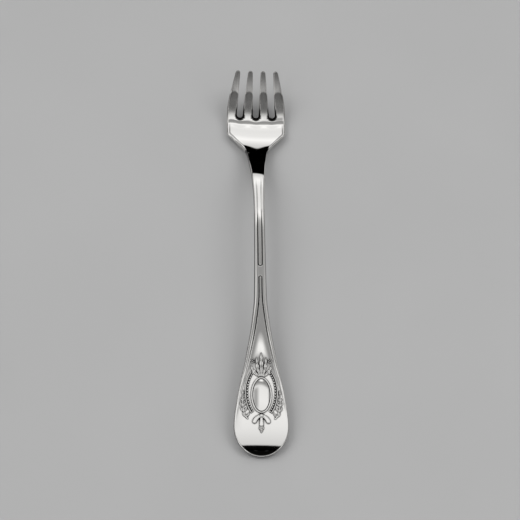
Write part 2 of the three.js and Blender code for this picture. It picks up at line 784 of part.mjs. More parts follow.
function makeSpray(side) {
  const from = medallionPlace - sprayBelow;
  const to = medallionPlace + sprayAbove;
  const middleAt = (v) => (sprayRoom(v)[0] + sprayRoom(v)[1]) / 2;
  const points = stations(from, to, sprayGuides).map((v) => new THREE.Vector2(side * middleAt(v), v));
  const stem = new THREE.SplineCurve(points);
  const leafAngle = degToRad(sprayLeafAngle);
  const leafReach = Math.sin(leafAngle) + Math.cos(leafAngle) * (sprayLeafWidth / sprayLeafLength / 2);
  const stemHalf = (t) => lerp(sprayStemWidth, sprayStemTipWidth, t) / 2;
  const pieces = [makeStrip(stem, sprayStemSteps, stemHalf, () => sprayStemHeight)];
  stations(0, 1, sprayLeafPairs + 1).slice(1, -1).forEach((t) => {
    const base = stem.getPoint(t);
    const along = stem.getTangent(t);
    const [inner, outer] = sprayRoom(base.y + sprayLeafLength);
    const length = Math.min(sprayLeafLength, (outer - inner) / 2 / leafReach);
    const width = sprayLeafWidth * (length / sprayLeafLength);
    [-1, 1].forEach((turned) => {
      const heading = along.clone().rotateAround(new THREE.Vector2(), turned * leafAngle);
      const tip = base.clone().addScaledVector(heading, length);
      const bow = turned * sprayLeafBow;
      pieces.push(makeLeaf(base.toArray(), tip.toArray(), bow, width, sprayLeafHeight, smallLeafSteps));
    });
  });
  return fused(pieces);
}

// The assembly
const polished = { color: 0xd9d8d4, roughness: 0.12, metalness: 1 };
const relief = { color: 0xc4c2bc, roughness: 0.22, metalness: 1 };
const fork = new THREE.Group();

function addPiece(name, geometry, finish) {
  const mesh = new THREE.Mesh(geometry, new THREE.MeshStandardMaterial(finish));
  mesh.name = name;
  fork.add(mesh);
}

addPiece('handle', makeHandle(), polished);
addPiece('stem', makeStem(), polished);
addPiece('neck', makeNeck(), polished);
addPiece('bowl', makeBowl(), polished);
tineNames.forEach((name, strip) => addPiece(name, makeTine(strip), polished));
addPiece('medallion', makeMedallion(), polished);
addPiece('medallion_rim', makeRim(), relief);
addPiece('crest_leaves', makeCrest(), relief);
addPiece('ribbon_bow', makeRibbon(), relief);
addPiece('husk_drop', makeHusk(), relief);
[['left', -1], ['right', 1]].forEach(([name, side]) => {
  addPiece(`bead_band_${name}`, makeBeads(side), relief);
  addPiece(`outer_rim_${name}`, makeOuterRim(side), relief);
  addPiece(`crest_flower_${name}`, makeFlower(side), relief);
  addPiece(`leaf_spray_${name}`, makeSpray(side), relief);
});

// The origin under the middle of the fork
const reach = new THREE.Box3().setFromObject(fork);
fork.position.y = -(reach.min.y + reach.max.y) / 2;

export default fork;
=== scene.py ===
"""The looks of a child's table fork: one struck piece of polished metal on a plain pale table.

The fork is drawn flat, as its blank: u runs across it, v along it from the handle end to the tine tips, and w
through its thickness. The blank is bent along its length and set down on the table, as the solids are.
Sizes are in millimetres and degrees, and the meshes are made in metres.
"""

import json
import math

import bpy
import numpy as np
from mathutils import Matrix, Vector

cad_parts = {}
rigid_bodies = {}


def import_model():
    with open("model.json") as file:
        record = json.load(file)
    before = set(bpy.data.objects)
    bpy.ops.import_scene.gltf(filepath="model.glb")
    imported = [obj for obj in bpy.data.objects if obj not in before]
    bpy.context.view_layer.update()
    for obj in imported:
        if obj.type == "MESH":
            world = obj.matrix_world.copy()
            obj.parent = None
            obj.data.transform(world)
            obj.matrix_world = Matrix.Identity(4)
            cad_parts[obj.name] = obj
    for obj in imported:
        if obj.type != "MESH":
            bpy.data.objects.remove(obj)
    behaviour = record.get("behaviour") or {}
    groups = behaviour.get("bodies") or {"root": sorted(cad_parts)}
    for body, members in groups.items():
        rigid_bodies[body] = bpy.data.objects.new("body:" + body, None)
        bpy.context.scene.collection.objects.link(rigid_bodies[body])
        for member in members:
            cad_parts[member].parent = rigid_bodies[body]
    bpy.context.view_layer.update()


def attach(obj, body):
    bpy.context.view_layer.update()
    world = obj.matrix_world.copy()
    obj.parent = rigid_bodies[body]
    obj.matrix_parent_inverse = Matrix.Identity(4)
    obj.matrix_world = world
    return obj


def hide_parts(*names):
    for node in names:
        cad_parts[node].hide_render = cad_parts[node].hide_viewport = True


MM = 0.001  # in metres

# The picture: the camera's place round the fork, and where the fork's middle lies in the frame
PICTURE_SIZE = 520  # pixels
SENSOR_WIDTH = 36
CAMERA_AZIMUTH = 190.03  # from straight behind the tines to the right
CAMERA_ELEVATION = 63
CAMERA_ROLL = 10.26
CAMERA_DISTANCE = 600
CAMERA_SCALE = 2.88  # pixels for each millimetre at the fork's middle
MIDDLE_HEIGHT = 5
MIDDLE_PIXEL = (258.88, 254.45)

# Lengths along the blank
HANDLE_LENGTH = 56
STEM_LENGTH = 44
NECK_LENGTH = 16.5
BOWL_LENGTH = 15.3
TINE_LENGTH = 17.2
END_LENGTH = 10  # the rounded end of the handle, up to its widest place

# Widths across the blank
HANDLE_WIDTH = 18.4
STEM_WIDTH = 4.3
WAIST_WIDTH = 3.65
WAIST_PLACE = 32  # from the start of the stem
NECK_WIDTH = 4.4
THROAT_WIDTH = 7.2
THROAT_PLACE = 14.6  # from the start of the neck
SHOULDER_FOOT_WIDTH = 9.5
SHOULDER_WIDTH = 18.4
HEAD_WIDTH = 21.2
TIP_SPAN = 15.2
TIP_WIDTH = 1.6
SLOT_WIDTH = 2.1
SLOT_PITCH = 5.85

# Where the shoulders of the head lie, from the start of the bowl
SHOULDER_FOOT_PLACE = 1.4
SHOULDER_PLACE = 6.6
FULL_WIDTH_PLACE = 8.4

# How far the face and the back leave flat, and how their edges are rounded
TINE_CROWN = 0.03
ROD_ROUND = 0.08  # how far a tine's edges drop where it turns to a rod
BEVEL_POWER = 1.3  # 1 is a straight bevel, 2 a round edge
FACE_ROUND = 0.35
LIP_ROUND = 1.0  # of the face at a slot's root
TINE_LIP_ROUND = 0.3  # and farther along the slot
LIP_FADE = 6  # along the tine
HOLLOW_DEPTH = 0.12  # of the shallow hollow that runs across the bowl under the slots
HOLLOW_REACH = (3.2, 8)  # from its line toward the neck and toward the tines
HOLLOW_PLACE = 1.2  # from the slots' roots
HOLLOW_WAVE = 0.45
BACK_ROUND = 0.5
TIP_ROUND = 1.0
TIP_THINNING = 0.8
EDGE_SHARE = 0.42  # the most of a tine's width or thickness that one rounded edge takes

# The bend
FLARE_PLACE = 40
ARCH_LEAD = 20  # from where the stem starts to turn down to the neck
REST_DEPTH = 0.15  # how deep the two places that rest on the table are worn flat
BEND_STEP = 0.02
TILT_TRIES = 3

# Thread border
GROOVE_WIDTH = 0.5
GROOVE_DEPTH = 0.25
GROOVE_POWER = 1.5  # over 1, its sides run out softly
THREAD_RISE = 0.12
PANEL_GAP_PLACE = 6.8
PANEL_GAP_LENGTH = 3.9

# Places along the blank, from the handle end
MEDALLION_PLACE = 20.5
STEM_START = HANDLE_LENGTH
NECK_START = STEM_START + STEM_LENGTH
BOWL_START = NECK_START + NECK_LENGTH
SLOT_ROOT = BOWL_START + BOWL_LENGTH
SLOT_RADIUS = SLOT_WIDTH / 2
TINE_START = SLOT_ROOT + SLOT_RADIUS
TINE_TIP = SLOT_ROOT + TINE_LENGTH
ROD_START = SLOT_ROOT + 8.2
ROD_END = SLOT_ROOT + 9.7
TIP_PITCH = (TIP_SPAN - TIP_WIDTH) / 3
PANEL_GAP_START = STEM_START + PANEL_GAP_PLACE
PANEL_GAP_END = PANEL_GAP_START + PANEL_GAP_LENGTH
ARCH_START = NECK_START - ARCH_LEAD
ARCH_MIDDLE = NECK_START - ARCH_LEAD / 2

# How finely the skin is drawn
PANEL_COLUMNS = 13
GROOVE_COLUMNS = 9
THREAD_COLUMNS = 8
EDGE_COLUMNS = 9
STRIP_EDGE_COLUMNS = 7
STRIP_MIDDLE_COLUMNS = 6
FLANK_STEP = 0.2
FAN_ROWS = 150
STEM_STEP = 0.12
NECK_STEP = 0.15
BOWL_STEP = 0.15
ROOT_STEP = 0.05
ROOT_TURNS = 16
TINE_STEP = 0.15
TIP_TURNS = 14
TIP_END = 84  # the turn at which a tine's rounded end stops, at a small flat
WELD = 1e-5  # points nearer than this are one
TINY = 1e-12  # the least length that a normal is divided by

# Relief on the handle
MOTIF_GAP = 0.15
MEDALLION_WIDTH = 5.6
MEDALLION_LENGTH = 10.8
MEDALLION_HEIGHT = 0.45
MEDALLION_WALL = 0.2
MEDALLION_END_FALL = 0.4  # of its rise, toward the top and the bottom
RIM_WIDTH = 0.6
RIM_HEIGHT = 0.4
RIM_PAINTED_SHADE = 0.08  # metal lower than this on the medallion and its rim is painted dark, as shade at their foot
FIELD_WIDTH = 0.75
BEAD_DIAMETER = 0.75
BEAD_LENGTH = 0.62  # along the band
BEAD_PAINTED_SHADE = 0.16  # metal lower than this on the beads is painted dark, as shade in the gaps
BEAD_HEIGHT = 0.34
BEAD_PITCH = 0.93
STRING_WIDTH = 0.45  # of the string that joins the beads
STRING_HEIGHT = 0.05
BEAD_OVAL_RISE = 1.0
BEAD_OVAL_STRETCH = 0.9
BEAD_TOP_ANGLE = 52
BEAD_BOTTOM_ANGLE = -52
OUTER_RIM_WIDTH = 0.4
OUTER_RIM_HEIGHT = 0.35
DOME_POWER = 4  # of a motif's section: a higher one is flatter
LEAF_TIP = 0.12  # share of a leaf's width that is left at both ends
LEAF_LIFT = 0.5  # share of its height that is left there
LEAF_FULLNESS = 0.8  # below 1, a leaf is fullest nearer its foot
LEAF_BLUNTNESS = 0.75  # below 1, its ends are blunter
LOBE_DEPTH = 0.3
RIB_DEPTH = 0.3
RIB_WIDTH = 0.09
VEINS = 4
VEIN_DEPTH = 0.3
VEIN_SLANT = 0.2
VEIN_START = 0.5  # share of the half width at which a vein has its full depth
CREST_LENGTH = 8.4
CREST_LOBES = 3
CREST_LEAVES = [  # places are across and along, from the crest's base
    {"foot": (0, 0), "tip": (0, CREST_LENGTH), "bow": 0, "width": 1.5, "height": 0.6},
    {"foot": (0.3, 0), "tip": (1.6, 6.8), "bow": 0.35, "width": 1.2, "height": 0.5},
    {"foot": (0.5, 0), "tip": (3.5, 3.9), "bow": 0.5, "width": 1.2, "height": 0.45},
]
FLOWER_SPREAD = 2.9
FLOWER_PLACE = 5.5
FLOWER_RADIUS = 0.85
FLOWER_HEIGHT = 0.55
FLOWER_PETALS = 5
FLOWER_NOTCH = 0.72  # share of the radius that is left between two petals
FLOWER_VALLEY = 0.55  # share of the height that is left there
PETAL_POWER = 3
EYE_RADIUS = 0.25
EYE_RING_RADIUS = 0.325  # of the groove round a flower's eye
EYE_RING_WIDTH = 0.125
EYE_RING_DEPTH = 0.5
RIBBON_LENGTH = 3.6
RIBBON_SPREAD = 2.3
RIBBON_DROP = 2.6
RIBBON_WIDTH = 1.5
RIBBON_HEIGHT = 0.6
RIBBON_BOW = 0.4
RIBBON_FOOT = 0.45  # share of its width at the knot
RIBBON_FOLD = 0.85  # share of its height along its middle
RIBBON_POWER = 6
SIDE_TAIL_OPENING = 0.5  # below 1, a tail widens soon after the knot
HANGING_TAIL_OPENING = 1
KNOT_RADIUS = 0.75
KNOT_HEIGHT = 0.78
HUSK_LENGTH = 2.7
HUSK_LEAVES = [  # from the husk's top
    {"foot": (0, 0), "tip": (0, -HUSK_LENGTH), "bow": 0, "width": 1.2, "height": 0.5},
    {"foot": (0, -0.4), "tip": (0.72, -1.6), "bow": -0.2, "width": 0.72, "height": 0.4},
]
SPRAY_BELOW = 8.0
SPRAY_ABOVE = 0.2
SPRAY_STEM_WIDTH = 0.36
SPRAY_STEM_TIP_WIDTH = 0.22
SPRAY_STEM_HEIGHT = 0.3
SPRAY_LEAF_LENGTH = 1.9
SPRAY_TIP_LEAF_LENGTH = 1.52
SPRAY_LEAF_WIDTH = 0.85
SPRAY_LEAF_HEIGHT = 0.4
SPRAY_LEAF_BOW = 0.1
SPRAY_LEAF_ANGLE = 38
SPRAY_LEAF_PAIRS = 4
SPRAY_FOOT_ROOM = 0.35  # below the first pair, as a share of the step between pairs
SPRAY_TOP_ROOM = 0.5  # and above the last pair
RELIEF_SINK = 0.12  # a motif's edge goes this far under the face
RELIEF_FOOT = 0.2  # and its closed bottom this far
RELIEF_FALL = 4  # how steeply it falls outside its edge
RELIEF_STEP = 0.055
CURVE_POINTS = 30
ARC_POINTS = 80

# The ovals round the medallion, the places of the motifs, and the boxes that hold them
RIM_HALF = (MEDALLION_WIDTH / 2 + MOTIF_GAP + RIM_WIDTH / 2, MEDALLION_LENGTH / 2 + MOTIF_GAP + RIM_WIDTH / 2)
BEAD_STEP = RIM_WIDTH / 2 + FIELD_WIDTH + BEAD_DIAMETER / 2
BEAD_HALF = (RIM_HALF[0] + BEAD_STEP, RIM_HALF[1] + BEAD_STEP + BEAD_OVAL_STRETCH)
OUTER_STEP = BEAD_DIAMETER / 2 + MOTIF_GAP + OUTER_RIM_WIDTH / 2
OUTER_HALF = (BEAD_HALF[0] + OUTER_STEP, BEAD_HALF[1] + OUTER_STEP)
OUTER_REACH = (OUTER_HALF[0] + OUTER_RIM_WIDTH / 2, OUTER_HALF[1] + OUTER_RIM_WIDTH / 2)
BEAD_OVAL_PLACE = MEDALLION_PLACE + BEAD_OVAL_RISE
CREST_BASE = MEDALLION_PLACE + RIM_HALF[1] + RIM_WIDTH / 2 + MOTIF_GAP
RIBBON_TOP = MEDALLION_PLACE - RIM_HALF[1] - RIM_WIDTH / 2 - MOTIF_GAP
KNOT_PLACE = RIBBON_TOP - KNOT_RADIUS
HUSK_TOP = RIBBON_TOP - RIBBON_LENGTH - MOTIF_GAP
SPRAY_LOW = MEDALLION_PLACE - SPRAY_BELOW
SPRAY_HIGH = MEDALLION_PLACE + SPRAY_ABOVE
MEDALLION_BOX = (-3.2, 3.2, MEDALLION_PLACE - 5.8, MEDALLION_PLACE + 5.8)
RIM_BOX = (-4, 4, MEDALLION_PLACE - 6.6, MEDALLION_PLACE + 6.6)
CREST_BOX = (-4.6, 4.6, CREST_BASE - 0.6, CREST_BASE + CREST_LENGTH + 0.6)
RIBBON_BOX = (-4.2, 4.2, RIBBON_TOP - RIBBON_LENGTH - 0.8, RIBBON_TOP + 1.2)
HUSK_BOX = (-1.8, 1.8, HUSK_TOP - HUSK_LENGTH - 0.5, HUSK_TOP + 0.5)
BEAD_BOX = (2.2, 5.6, BEAD_OVAL_PLACE - 7.4, BEAD_OVAL_PLACE + 7.4)
OUTER_RIM_BOX = (2.6, 6.2, BEAD_OVAL_PLACE - 8, BEAD_OVAL_PLACE + 8)
FLOWER_BOX = (1.7, 4.1, CREST_BASE + FLOWER_PLACE - 1.2, CREST_BASE + FLOWER_PLACE + 1.2)
SPRAY_BOX = (2, 9, SPRAY_LOW - 0.6, SPRAY_HIGH + 2.4)

# Metal
METAL_COLOUR = (0.87, 0.86, 0.84)
POLISHED_ROUGHNESS = (0.02, 0.06)
STRUCK_ROUGHNESS = (0.05, 0.1)
SMUDGE_SCALE = 180
SMUDGE_DETAIL = 4
SMUDGE_RANGE = (0.3, 0.7)

# Wear: the tines are satin, and smoother at their tips. Places are along the bent fork, from its middle
SATIN_RISE = (56.5, 60)
SATIN_FALL = (61.5, 65.5)
SATIN_ROUGHNESS = 0.2
SATIN_TIP_ROUGHNESS = 0.1

# Painted shade and dark reflections, which darken the metal's colour
PAINTED_SHADE_COLOUR = (0.008, 0.0075, 0.007)
RELIEF_PAINTED_SHADE = 0.22  # metal lower than this on a motif is painted dark, as shade at its foot
FULL_SHADE_SHARE = 0.5  # below this share of that height it is darkest
END_PAINTED_REFLECTION = (2.3, 2.8)  # from the handle end: where the painted dark reflection ends
END_BRIGHT_WIDTH = (0.3, 0.45)  # from the edge: where it starts, leaving a bright rim
TINE_ARCH = 1.2  # how far the top edge of the painted dark reflection curves down to a tine's sides
TINE_PAINTED_REFLECTION_KEYS = [  # how dark the painted reflection on the tines is, by the distance from the slots' roots
    (-0.5, 0), (2.2, 0.42), (4.7, 0.42), (7, 0.45), (9.3, 0.6),
    (9.9, 0.08), (10.8, 0.15), (13, 0.34), (16.5, 0.62),
]
# A painted dark reflection line along the head's shoulders
SHOULDER_LINE_WIDTH = 0.35
SHOULDER_LINE_CORE = 1.5  # over 1, its middle is evenly dark
SHOULDER_LINE_KEYS = [(BOWL_START, 0), (BOWL_START + 1, 0.9), (SLOT_ROOT - 6, 0.9), (SLOT_ROOT - 2, 0)]
# Painted shade in recesses, from ambient occlusion
RECESS_REACH = 0.7
RECESS_SAMPLES = 12
RECESS_RANGE = (0.64, 0.93)  # openness of the darkest painted shade in recesses, and of metal that stays bright
# Painted shade on the slots' lips, as the dark under the tines
SLOT_SHADE_WIDTH = 1.45
SLOT_SIDE_SHADE_WIDTH = 0.75
SLOT_SHADE_LENGTH = 5
PAINTED_SHADE_BLUR = 0.15

# The table
TABLE_HALF = 8000
TABLE_DROP = 0.02  # it lies this far under the fork
TABLE_ROUGHNESS = 0.9
TABLE_GLOSS = 0.1
TABLE_TONES = (0.42, 0.46)
MOTTLE_SCALE = 14
MOTTLE_DETAIL = 3

# The lamps: azimuth from straight behind the tines to the right, elevation and power
LAMP_ANGLE = 34
LAMPS = [(-58, 42, 0.85), (58, 42, 0.85), (-4, 22, 0.95)]

# The room's brightness, by the angle from overhead toward the camera's side
HORIZONS = (-90, 90)
ROOM = [
    (-90, 0), (-64, 0), (-62, 0.7), (-58, 0.8), (-50.5, 1.1), (-45, 0.92), (-37, 0.88), (-32, 0.95),
    (-29.5, 1.12), (-28, 1), (-27, 0.56), (-25, 0.38), (-20, 0.32), (-10.2, 0.29), (-9, 0.9), (-3, 0.95),
    (2, 0.86), (9, 0.7), (9.9, 0.002), (17, 0.002), (18.3, 0.3), (23.5, 0.3), (24.2, 0.5), (25.5, 0.5),
    (27, 0.36), (38, 0.36), (44, 0.25), (90, 0.25),
]
# Its walls, by how far a direction leans to the right: farther out each is dark, then bright, then dark again
SIDES = (-1, 1)
WALL_MIDDLE = [(-0.6, 0.95), (-0.02, 0.95), (0.02, 0.5), (0.6, 0.5)]
WALL_SIDE = [(0.64, 0.06), (0.7, 0.06), (0.74, 0.9), (0.88, 0.9), (0.92, 0.15), (1, 0.15)]
WALLS = [*((-lean, brightness) for lean, brightness in WALL_SIDE[::-1]), *WALL_MIDDLE, *WALL_SIDE]
WALL_START = (0.36, 0.44)
WALL_END = (-62, -60)  # toward the back, by the angle from overhead
# Patches of it: their leans and their angles, each from start over full to end, and their brightness
WINDOW = ((-0.05, 0.03, 0.12, 0.2), (-12.9, -12.3, -11.1, -10.6), 1.1)
POST = ((-0.3, -0.24, -0.14, 0), (-9, -8, -1, 2), 0.42)


def lerp(start, end, share):
    return start + (end - start) * share


def smoothstep(place, low, high):
    share = np.clip((place - low) / (high - low), 0, 1)
    return share * share * (3 - 2 * share)


def through(keys, place):
    """A smooth curve through (place, value) keys. It levels off at both ends and never overshoots a key."""
    places, values = np.array(keys, float).T
    steepness = np.diff(values) / np.diff(places)
    before, after = steepness[:-1], steepness[1:]
    rising = before * after > 0
    inner = np.where(rising, 2 * before * after / np.where(rising, before + after, 1), 0)
    tangents = np.concatenate([[0], inner, [0]])
    at = np.clip(place, places[0], places[-1])
    k = np.clip(np.searchsorted(places, at) - 1, 0, len(places) - 2)
    span = places[k + 1] - places[k]
    t = (at - places[k]) / span
    bow = tangents[k] * t * (1 - t) ** 2 - tangents[k + 1] * t**2 * (1 - t)
    return lerp(values[k], values[k + 1], t * t * (3 - 2 * t)) + span * bow


# The outline and the section of the blank

FLARE = [(0, 0), (0.2, 0.15), (0.5, 0.55), (0.8, 0.88), (1, 1)]
OUTLINE = [
    *(
        (lerp(END_LENGTH, STEM_START, along), lerp(HANDLE_WIDTH, STEM_WIDTH, share) / 2)
        for along, share in FLARE
    ),
    (STEM_START + WAIST_PLACE, WAIST_WIDTH / 2),
    (NECK_START, NECK_WIDTH / 2),
    (NECK_START + THROAT_PLACE, THROAT_WIDTH / 2),
    (BOWL_START + SHOULDER_FOOT_PLACE, SHOULDER_FOOT_WIDTH / 2),
    (BOWL_START + SHOULDER_PLACE, SHOULDER_WIDTH / 2),
    (BOWL_START + FULL_WIDTH_PLACE, HEAD_WIDTH / 2),
    (TINE_START, HEAD_WIDTH / 2),
    (TINE_TIP, TIP_SPAN / 2),
    (2 * TINE_TIP - TINE_START, TIP_SPAN - HEAD_WIDTH / 2),  # past the tips, so the sides stay straight
]
# The thickness at the edges, and how far the face and the back swell between them
EDGE_KEYS = [(END_LENGTH, 1.5), (STEM_START, 1.9), (BOWL_START, 1.8), (TINE_TIP, 1.1)]
CROWN_KEYS = [(END_LENGTH, 0.25), (STEM_START, 0.35), (NECK_START, 0.35), (BOWL_START, 0)]
BELLY_KEYS = [(END_LENGTH, 0.35), (STEM_START, 0.8), (NECK_START, 0.8), (BOWL_START, 0.15)]
# How far the bowl's edges stand above its middle, and those of the throat, which the hollow runs out along
CUP_KEYS = [(NECK_START, 0), (BOWL_START + SHOULDER_PLACE, 0.9)]
THROAT_CUP_KEYS = [(NECK_START + 8, 0), (NECK_START + 14, 0.4), (NECK_START + 20, 0)]
# How wide the bevel of the face is, which is widest beside the slots' roots
HEAD_ROUND_KEYS = [
    (BOWL_START, FACE_ROUND), (BOWL_START + SHOULDER_PLACE, 0.8),
    (TINE_START, 0.8), (TINE_START + LIP_FADE, FACE_ROUND),
]
# The width of the border, and the depth of its groove
BORDER_KEYS = [
    (END_LENGTH, 0.6), (FLARE_PLACE, 1.45), (STEM_START, 1.6), (PANEL_GAP_START, 1.5),
    (PANEL_GAP_END, 1.25), (STEM_START + WAIST_PLACE, 1.1), (NECK_START, 1.25),
]
GROOVE_KEYS = [
    (END_LENGTH, 0), (MEDALLION_PLACE, 0.05), (STEM_START, GROOVE_DEPTH), (ARCH_START, GROOVE_DEPTH),
    (ARCH_MIDDLE, 0.09), (NECK_START - 3, 0.09), (NECK_START + 3, 0),
]
# How far the painted shade, for dark reflections and contact shade, reaches in from the edges, and how dark
# the painted shade in the grooves is
EDGE_SHADE_KEYS = [(MEDALLION_PLACE, 0.1), (STEM_START, 0.45), (ARCH_START, 0.45), (ARCH_MIDDLE, 0.1)]
GROOVE_SHADE_KEYS = [(ARCH_START, 1), (ARCH_MIDDLE, 0.4)]


def half_width(v):
    return through(OUTLINE, v)


def border_at(v):
    return through(BORDER_KEYS, v)


def panel_half(v):
    return half_width(v) - border_at(v)


# The two panels of the stem end in round turns on either side of the plain gap
LOW_TURN = panel_half(PANEL_GAP_START)
HIGH_TURN = panel_half(PANEL_GAP_END)
LOW_CENTRE = PANEL_GAP_START - LOW_TURN
HIGH_CENTRE = PANEL_GAP_END + HIGH_TURN


def from_groove(u, v, from_edge):
    beside = np.abs(from_edge - border_at(v))
    low = np.abs(np.hypot(u, v - LOW_CENTRE) - LOW_TURN)
    high = np.abs(np.hypot(u, v - HIGH_CENTRE) - HIGH_TURN)
    between = (v > LOW_CENTRE) & (v < HIGH_CENTRE)
    return np.where(between, np.minimum(low, high), beside)


def thread(v, from_edge):
    """The border's own swell, between the groove and the edge."""
    border = border_at(v)
    across = (from_edge - border / 2) / (border / 2)
    fade = through(GROOVE_KEYS, v) / GROOVE_DEPTH
    return THREAD_RISE * fade * np.maximum(0, 1 - across**2)


def groove(u, v, from_edge):
    across = from_groove(u, v, from_edge) / (GROOVE_WIDTH / 2)
    return through(GROOVE_KEYS, v) * np.maximum(0, 1 - across**2) ** GROOVE_POWER


def tarnish(u, v, from_edge):
    """The painted shade: dark colour in the grooves, on the edges and in the dark reflection at the handle
    end.
    """
    edge = np.clip(1 - from_edge / through(EDGE_SHADE_KEYS, v), 0, 1)
    depth = np.clip(groove(u, v, from_edge) / GROOVE_DEPTH, 0, 1)
    end = (1 - smoothstep(v, *END_PAINTED_REFLECTION)) * smoothstep(from_edge, *END_BRIGHT_WIDTH)
    return np.maximum(np.maximum(edge, end), through(GROOVE_SHADE_KEYS, v) * depth)


def rounded_drop(from_edge, radius):
    left = np.maximum(0, radius - np.maximum(0, from_edge))
    return radius - np.sqrt(np.maximum(0, radius**2 - left**2))


def bevelled_drop(from_edge, width):
    left = np.clip(1 - from_edge / width, 0, 1)
    return width * (1 - (1 - left**BEVEL_POWER) ** (1 / BEVEL_POWER))


def face_round_at(v):
    return through(HEAD_ROUND_KEYS, v)


def lip_round_at(v):
    return lerp(LIP_ROUND, TINE_LIP_ROUND, smoothstep(v, SLOT_ROOT, TINE_START + LIP_FADE))


def hollow(u, v):
    """The shallow hollow across the bowl, whose line waves round the slots' roots."""
    line = SLOT_ROOT - HOLLOW_PLACE - HOLLOW_WAVE * np.cos(2 * math.pi * u / SLOT_PITCH)
    across = (v - line) / np.where(v < line, *HOLLOW_REACH)
    return HOLLOW_DEPTH * np.maximum(0, 1 - across**2) ** 2


def swell(from_edge, half):
    return 1 - (1 - from_edge / half) ** 2


def face_level(u, v, from_edge, half):
    crown = through(CROWN_KEYS, v) * swell(from_edge, half)
    return through(EDGE_KEYS, v) / 2 + crown + thread(v, from_edge) - groove(u, v, from_edge)


def back_level(v, from_edge, half):
    return -through(EDGE_KEYS, v) / 2 - through(BELLY_KEYS, v) * swell(from_edge, half)


def face_height(u, v, from_edge, half):
    return face_level(u, v, from_edge, half) - bevelled_drop(from_edge, face_round_at(v))


def back_height(v, from_edge, half):
    return back_level(v, from_edge, half) + rounded_drop(from_edge, BACK_ROUND)


def cup(u, v):
    bowl = through(CUP_KEYS, v) * (u / (HEAD_WIDTH / 2)) ** 2
    return bowl + through(THROAT_CUP_KEYS, v) * (u / half_width(v)) ** 2


# The bend, by slopes that rise toward the tines

SLOPES = [
    (0, 20.5),
    (4, 13),  # past the rolled end
    (MEDALLION_PLACE, 8.2),
    (FLARE_PLACE, 5.4),
    (STEM_START, 4.4),
    (ARCH_START, 2),
    (NECK_START, -10),
    (NECK_START + 8.3, -23.5),  # the neck's steepest place
    (BOWL_START + 10.5, 0),  # the bottom of the bowl
    (SLOT_ROOT, 16.5),
    ((SLOT_ROOT + TINE_TIP) / 2, 27.5),
    (TINE_TIP, 33),
]


def bent_line(tilt):
    """A function that bends points (u, v, w) along the fork's middle line."""
    ends = np.arange(0, TINE_TIP + 2 * BEND_STEP, BEND_STEP)
    slopes = np.radians(through(SLOPES, ends[:-1] + BEND_STEP / 2) + tilt)
    along = np.concatenate([[0], np.cumsum(np.cos(slopes) * BEND_STEP)])
    up = np.concatenate([[0], np.cumsum(np.sin(slopes) * BEND_STEP)])

    def bend(points):
        u, v, w = np.moveaxis(np.asarray(points, float), -1, 0)
        slope = np.radians(through(SLOPES, v) + tilt)
        y = np.interp(v, ends, along) - w * np.sin(slope)
        z = np.interp(v, ends, up) + w * np.cos(slope)
        return np.stack([u, y, z], -1)

    return bend


def lowest_point(bend, low, high):
    """The lowest point of the back's middle line between two places."""
    v = np.arange(low, high, BEND_STEP)
    half = np.where(v < END_LENGTH, END_LENGTH, half_width(v))
    w = back_height(v, np.minimum(v, half), half)
    points = bend(np.stack([0 * v, v, w], -1))
    return points[np.argmin(points[:, 2])]


def resting_tilt():
    """The tilt at which the fork rests on the bottom of its bowl and on the end of its handle."""
    tilt = 0
    for _ in range(TILT_TRIES):
        bend = bent_line(tilt)
        end = lowest_point(bend, 0, END_LENGTH)
        bowl = lowest_point(bend, NECK_START, SLOT_ROOT)
        tilt -= math.degrees(math.atan2(bowl[2] - end[2], bowl[1] - end[1]))
    return tilt


BEND = bent_line(resting_tilt())
TABLE_HEIGHT = lowest_point(BEND, NECK_START, SLOT_ROOT)[2] + REST_DEPTH


def set_down(points):
    """Points of the blank, bent and set down on the table."""
    placed = BEND(points[..., :3])
    placed[..., 1] -= MIDDLE
    placed[..., 2] = np.maximum(0, placed[..., 2] - TABLE_HEIGHT)
    return placed


# Skins are patches: rows of points, which are joined where they meet


def rounded_columns(start, radius, count):
    """Places over a rounded edge, from the edge inward."""
    return start + radius * (1 - np.cos(np.linspace(0, math.pi / 2, count)))


def border_columns(half, v):
    border = border_at(v)
    inner = half - border - GROOVE_WIDTH / 2
    outer = half - border + GROOVE_WIDTH / 2
    return np.concatenate([
        np.linspace(0, inner, PANEL_COLUMNS, endpoint=False),
        np.linspace(inner, outer, GROOVE_COLUMNS, endpoint=False),
        np.linspace(outer, half - FACE_ROUND, THREAD_COLUMNS, endpoint=False),
        half - rounded_columns(0, FACE_ROUND, EDGE_COLUMNS)[::-1],
    ])


def strip_columns(inner, outer, v):
    radius = min(max(face_round_at(v), lip_round_at(v)), (outer - inner) * EDGE_SHARE)
    rising = rounded_columns(inner, radius, STRIP_EDGE_COLUMNS)
    falling = inner + outer - rising[::-1]
    middle = np.linspace(rising[-1], falling[0], STRIP_MIDDLE_COLUMNS + 2)[1:-1]
    return np.concatenate([rising, middle, falling])


def slot_line(v):
    return SLOT_PITCH * min(1, half_width(v) / (HEAD_WIDTH / 2))


def section_columns(v):
    """Distances from the axis: on the stem they follow the border, on the head they follow the slots."""
    half = half_width(v)
    on_stem = border_columns(half, v)
    line = slot_line(v)
    on_head = np.concatenate([strip_columns(0, line, v), strip_columns(line, half, v)[1:]])
    return lerp(on_stem, on_head, smoothstep(v, NECK_START, BOWL_START))


def both_sides(u, v, from_edge, half, raised=0):
    """Points of the face and of the back, each with how much painted shade it has there."""
    dark = tarnish(u, v, from_edge)
    heights = (face_height(u, v, from_edge, half), back_height(v, from_edge, half))
    return [np.stack([u, v, height + raised, dark], -1) for height in heights]


def section(v):
    """The face and the back across the blank, from left to right."""
    half = half_width(v)
    right = section_columns(v)
    u = np.concatenate([-right[:0:-1], right])
    along = np.full_like(u, v)
    return both_sides(u, along, half - np.abs(u), half, cup(u, along))


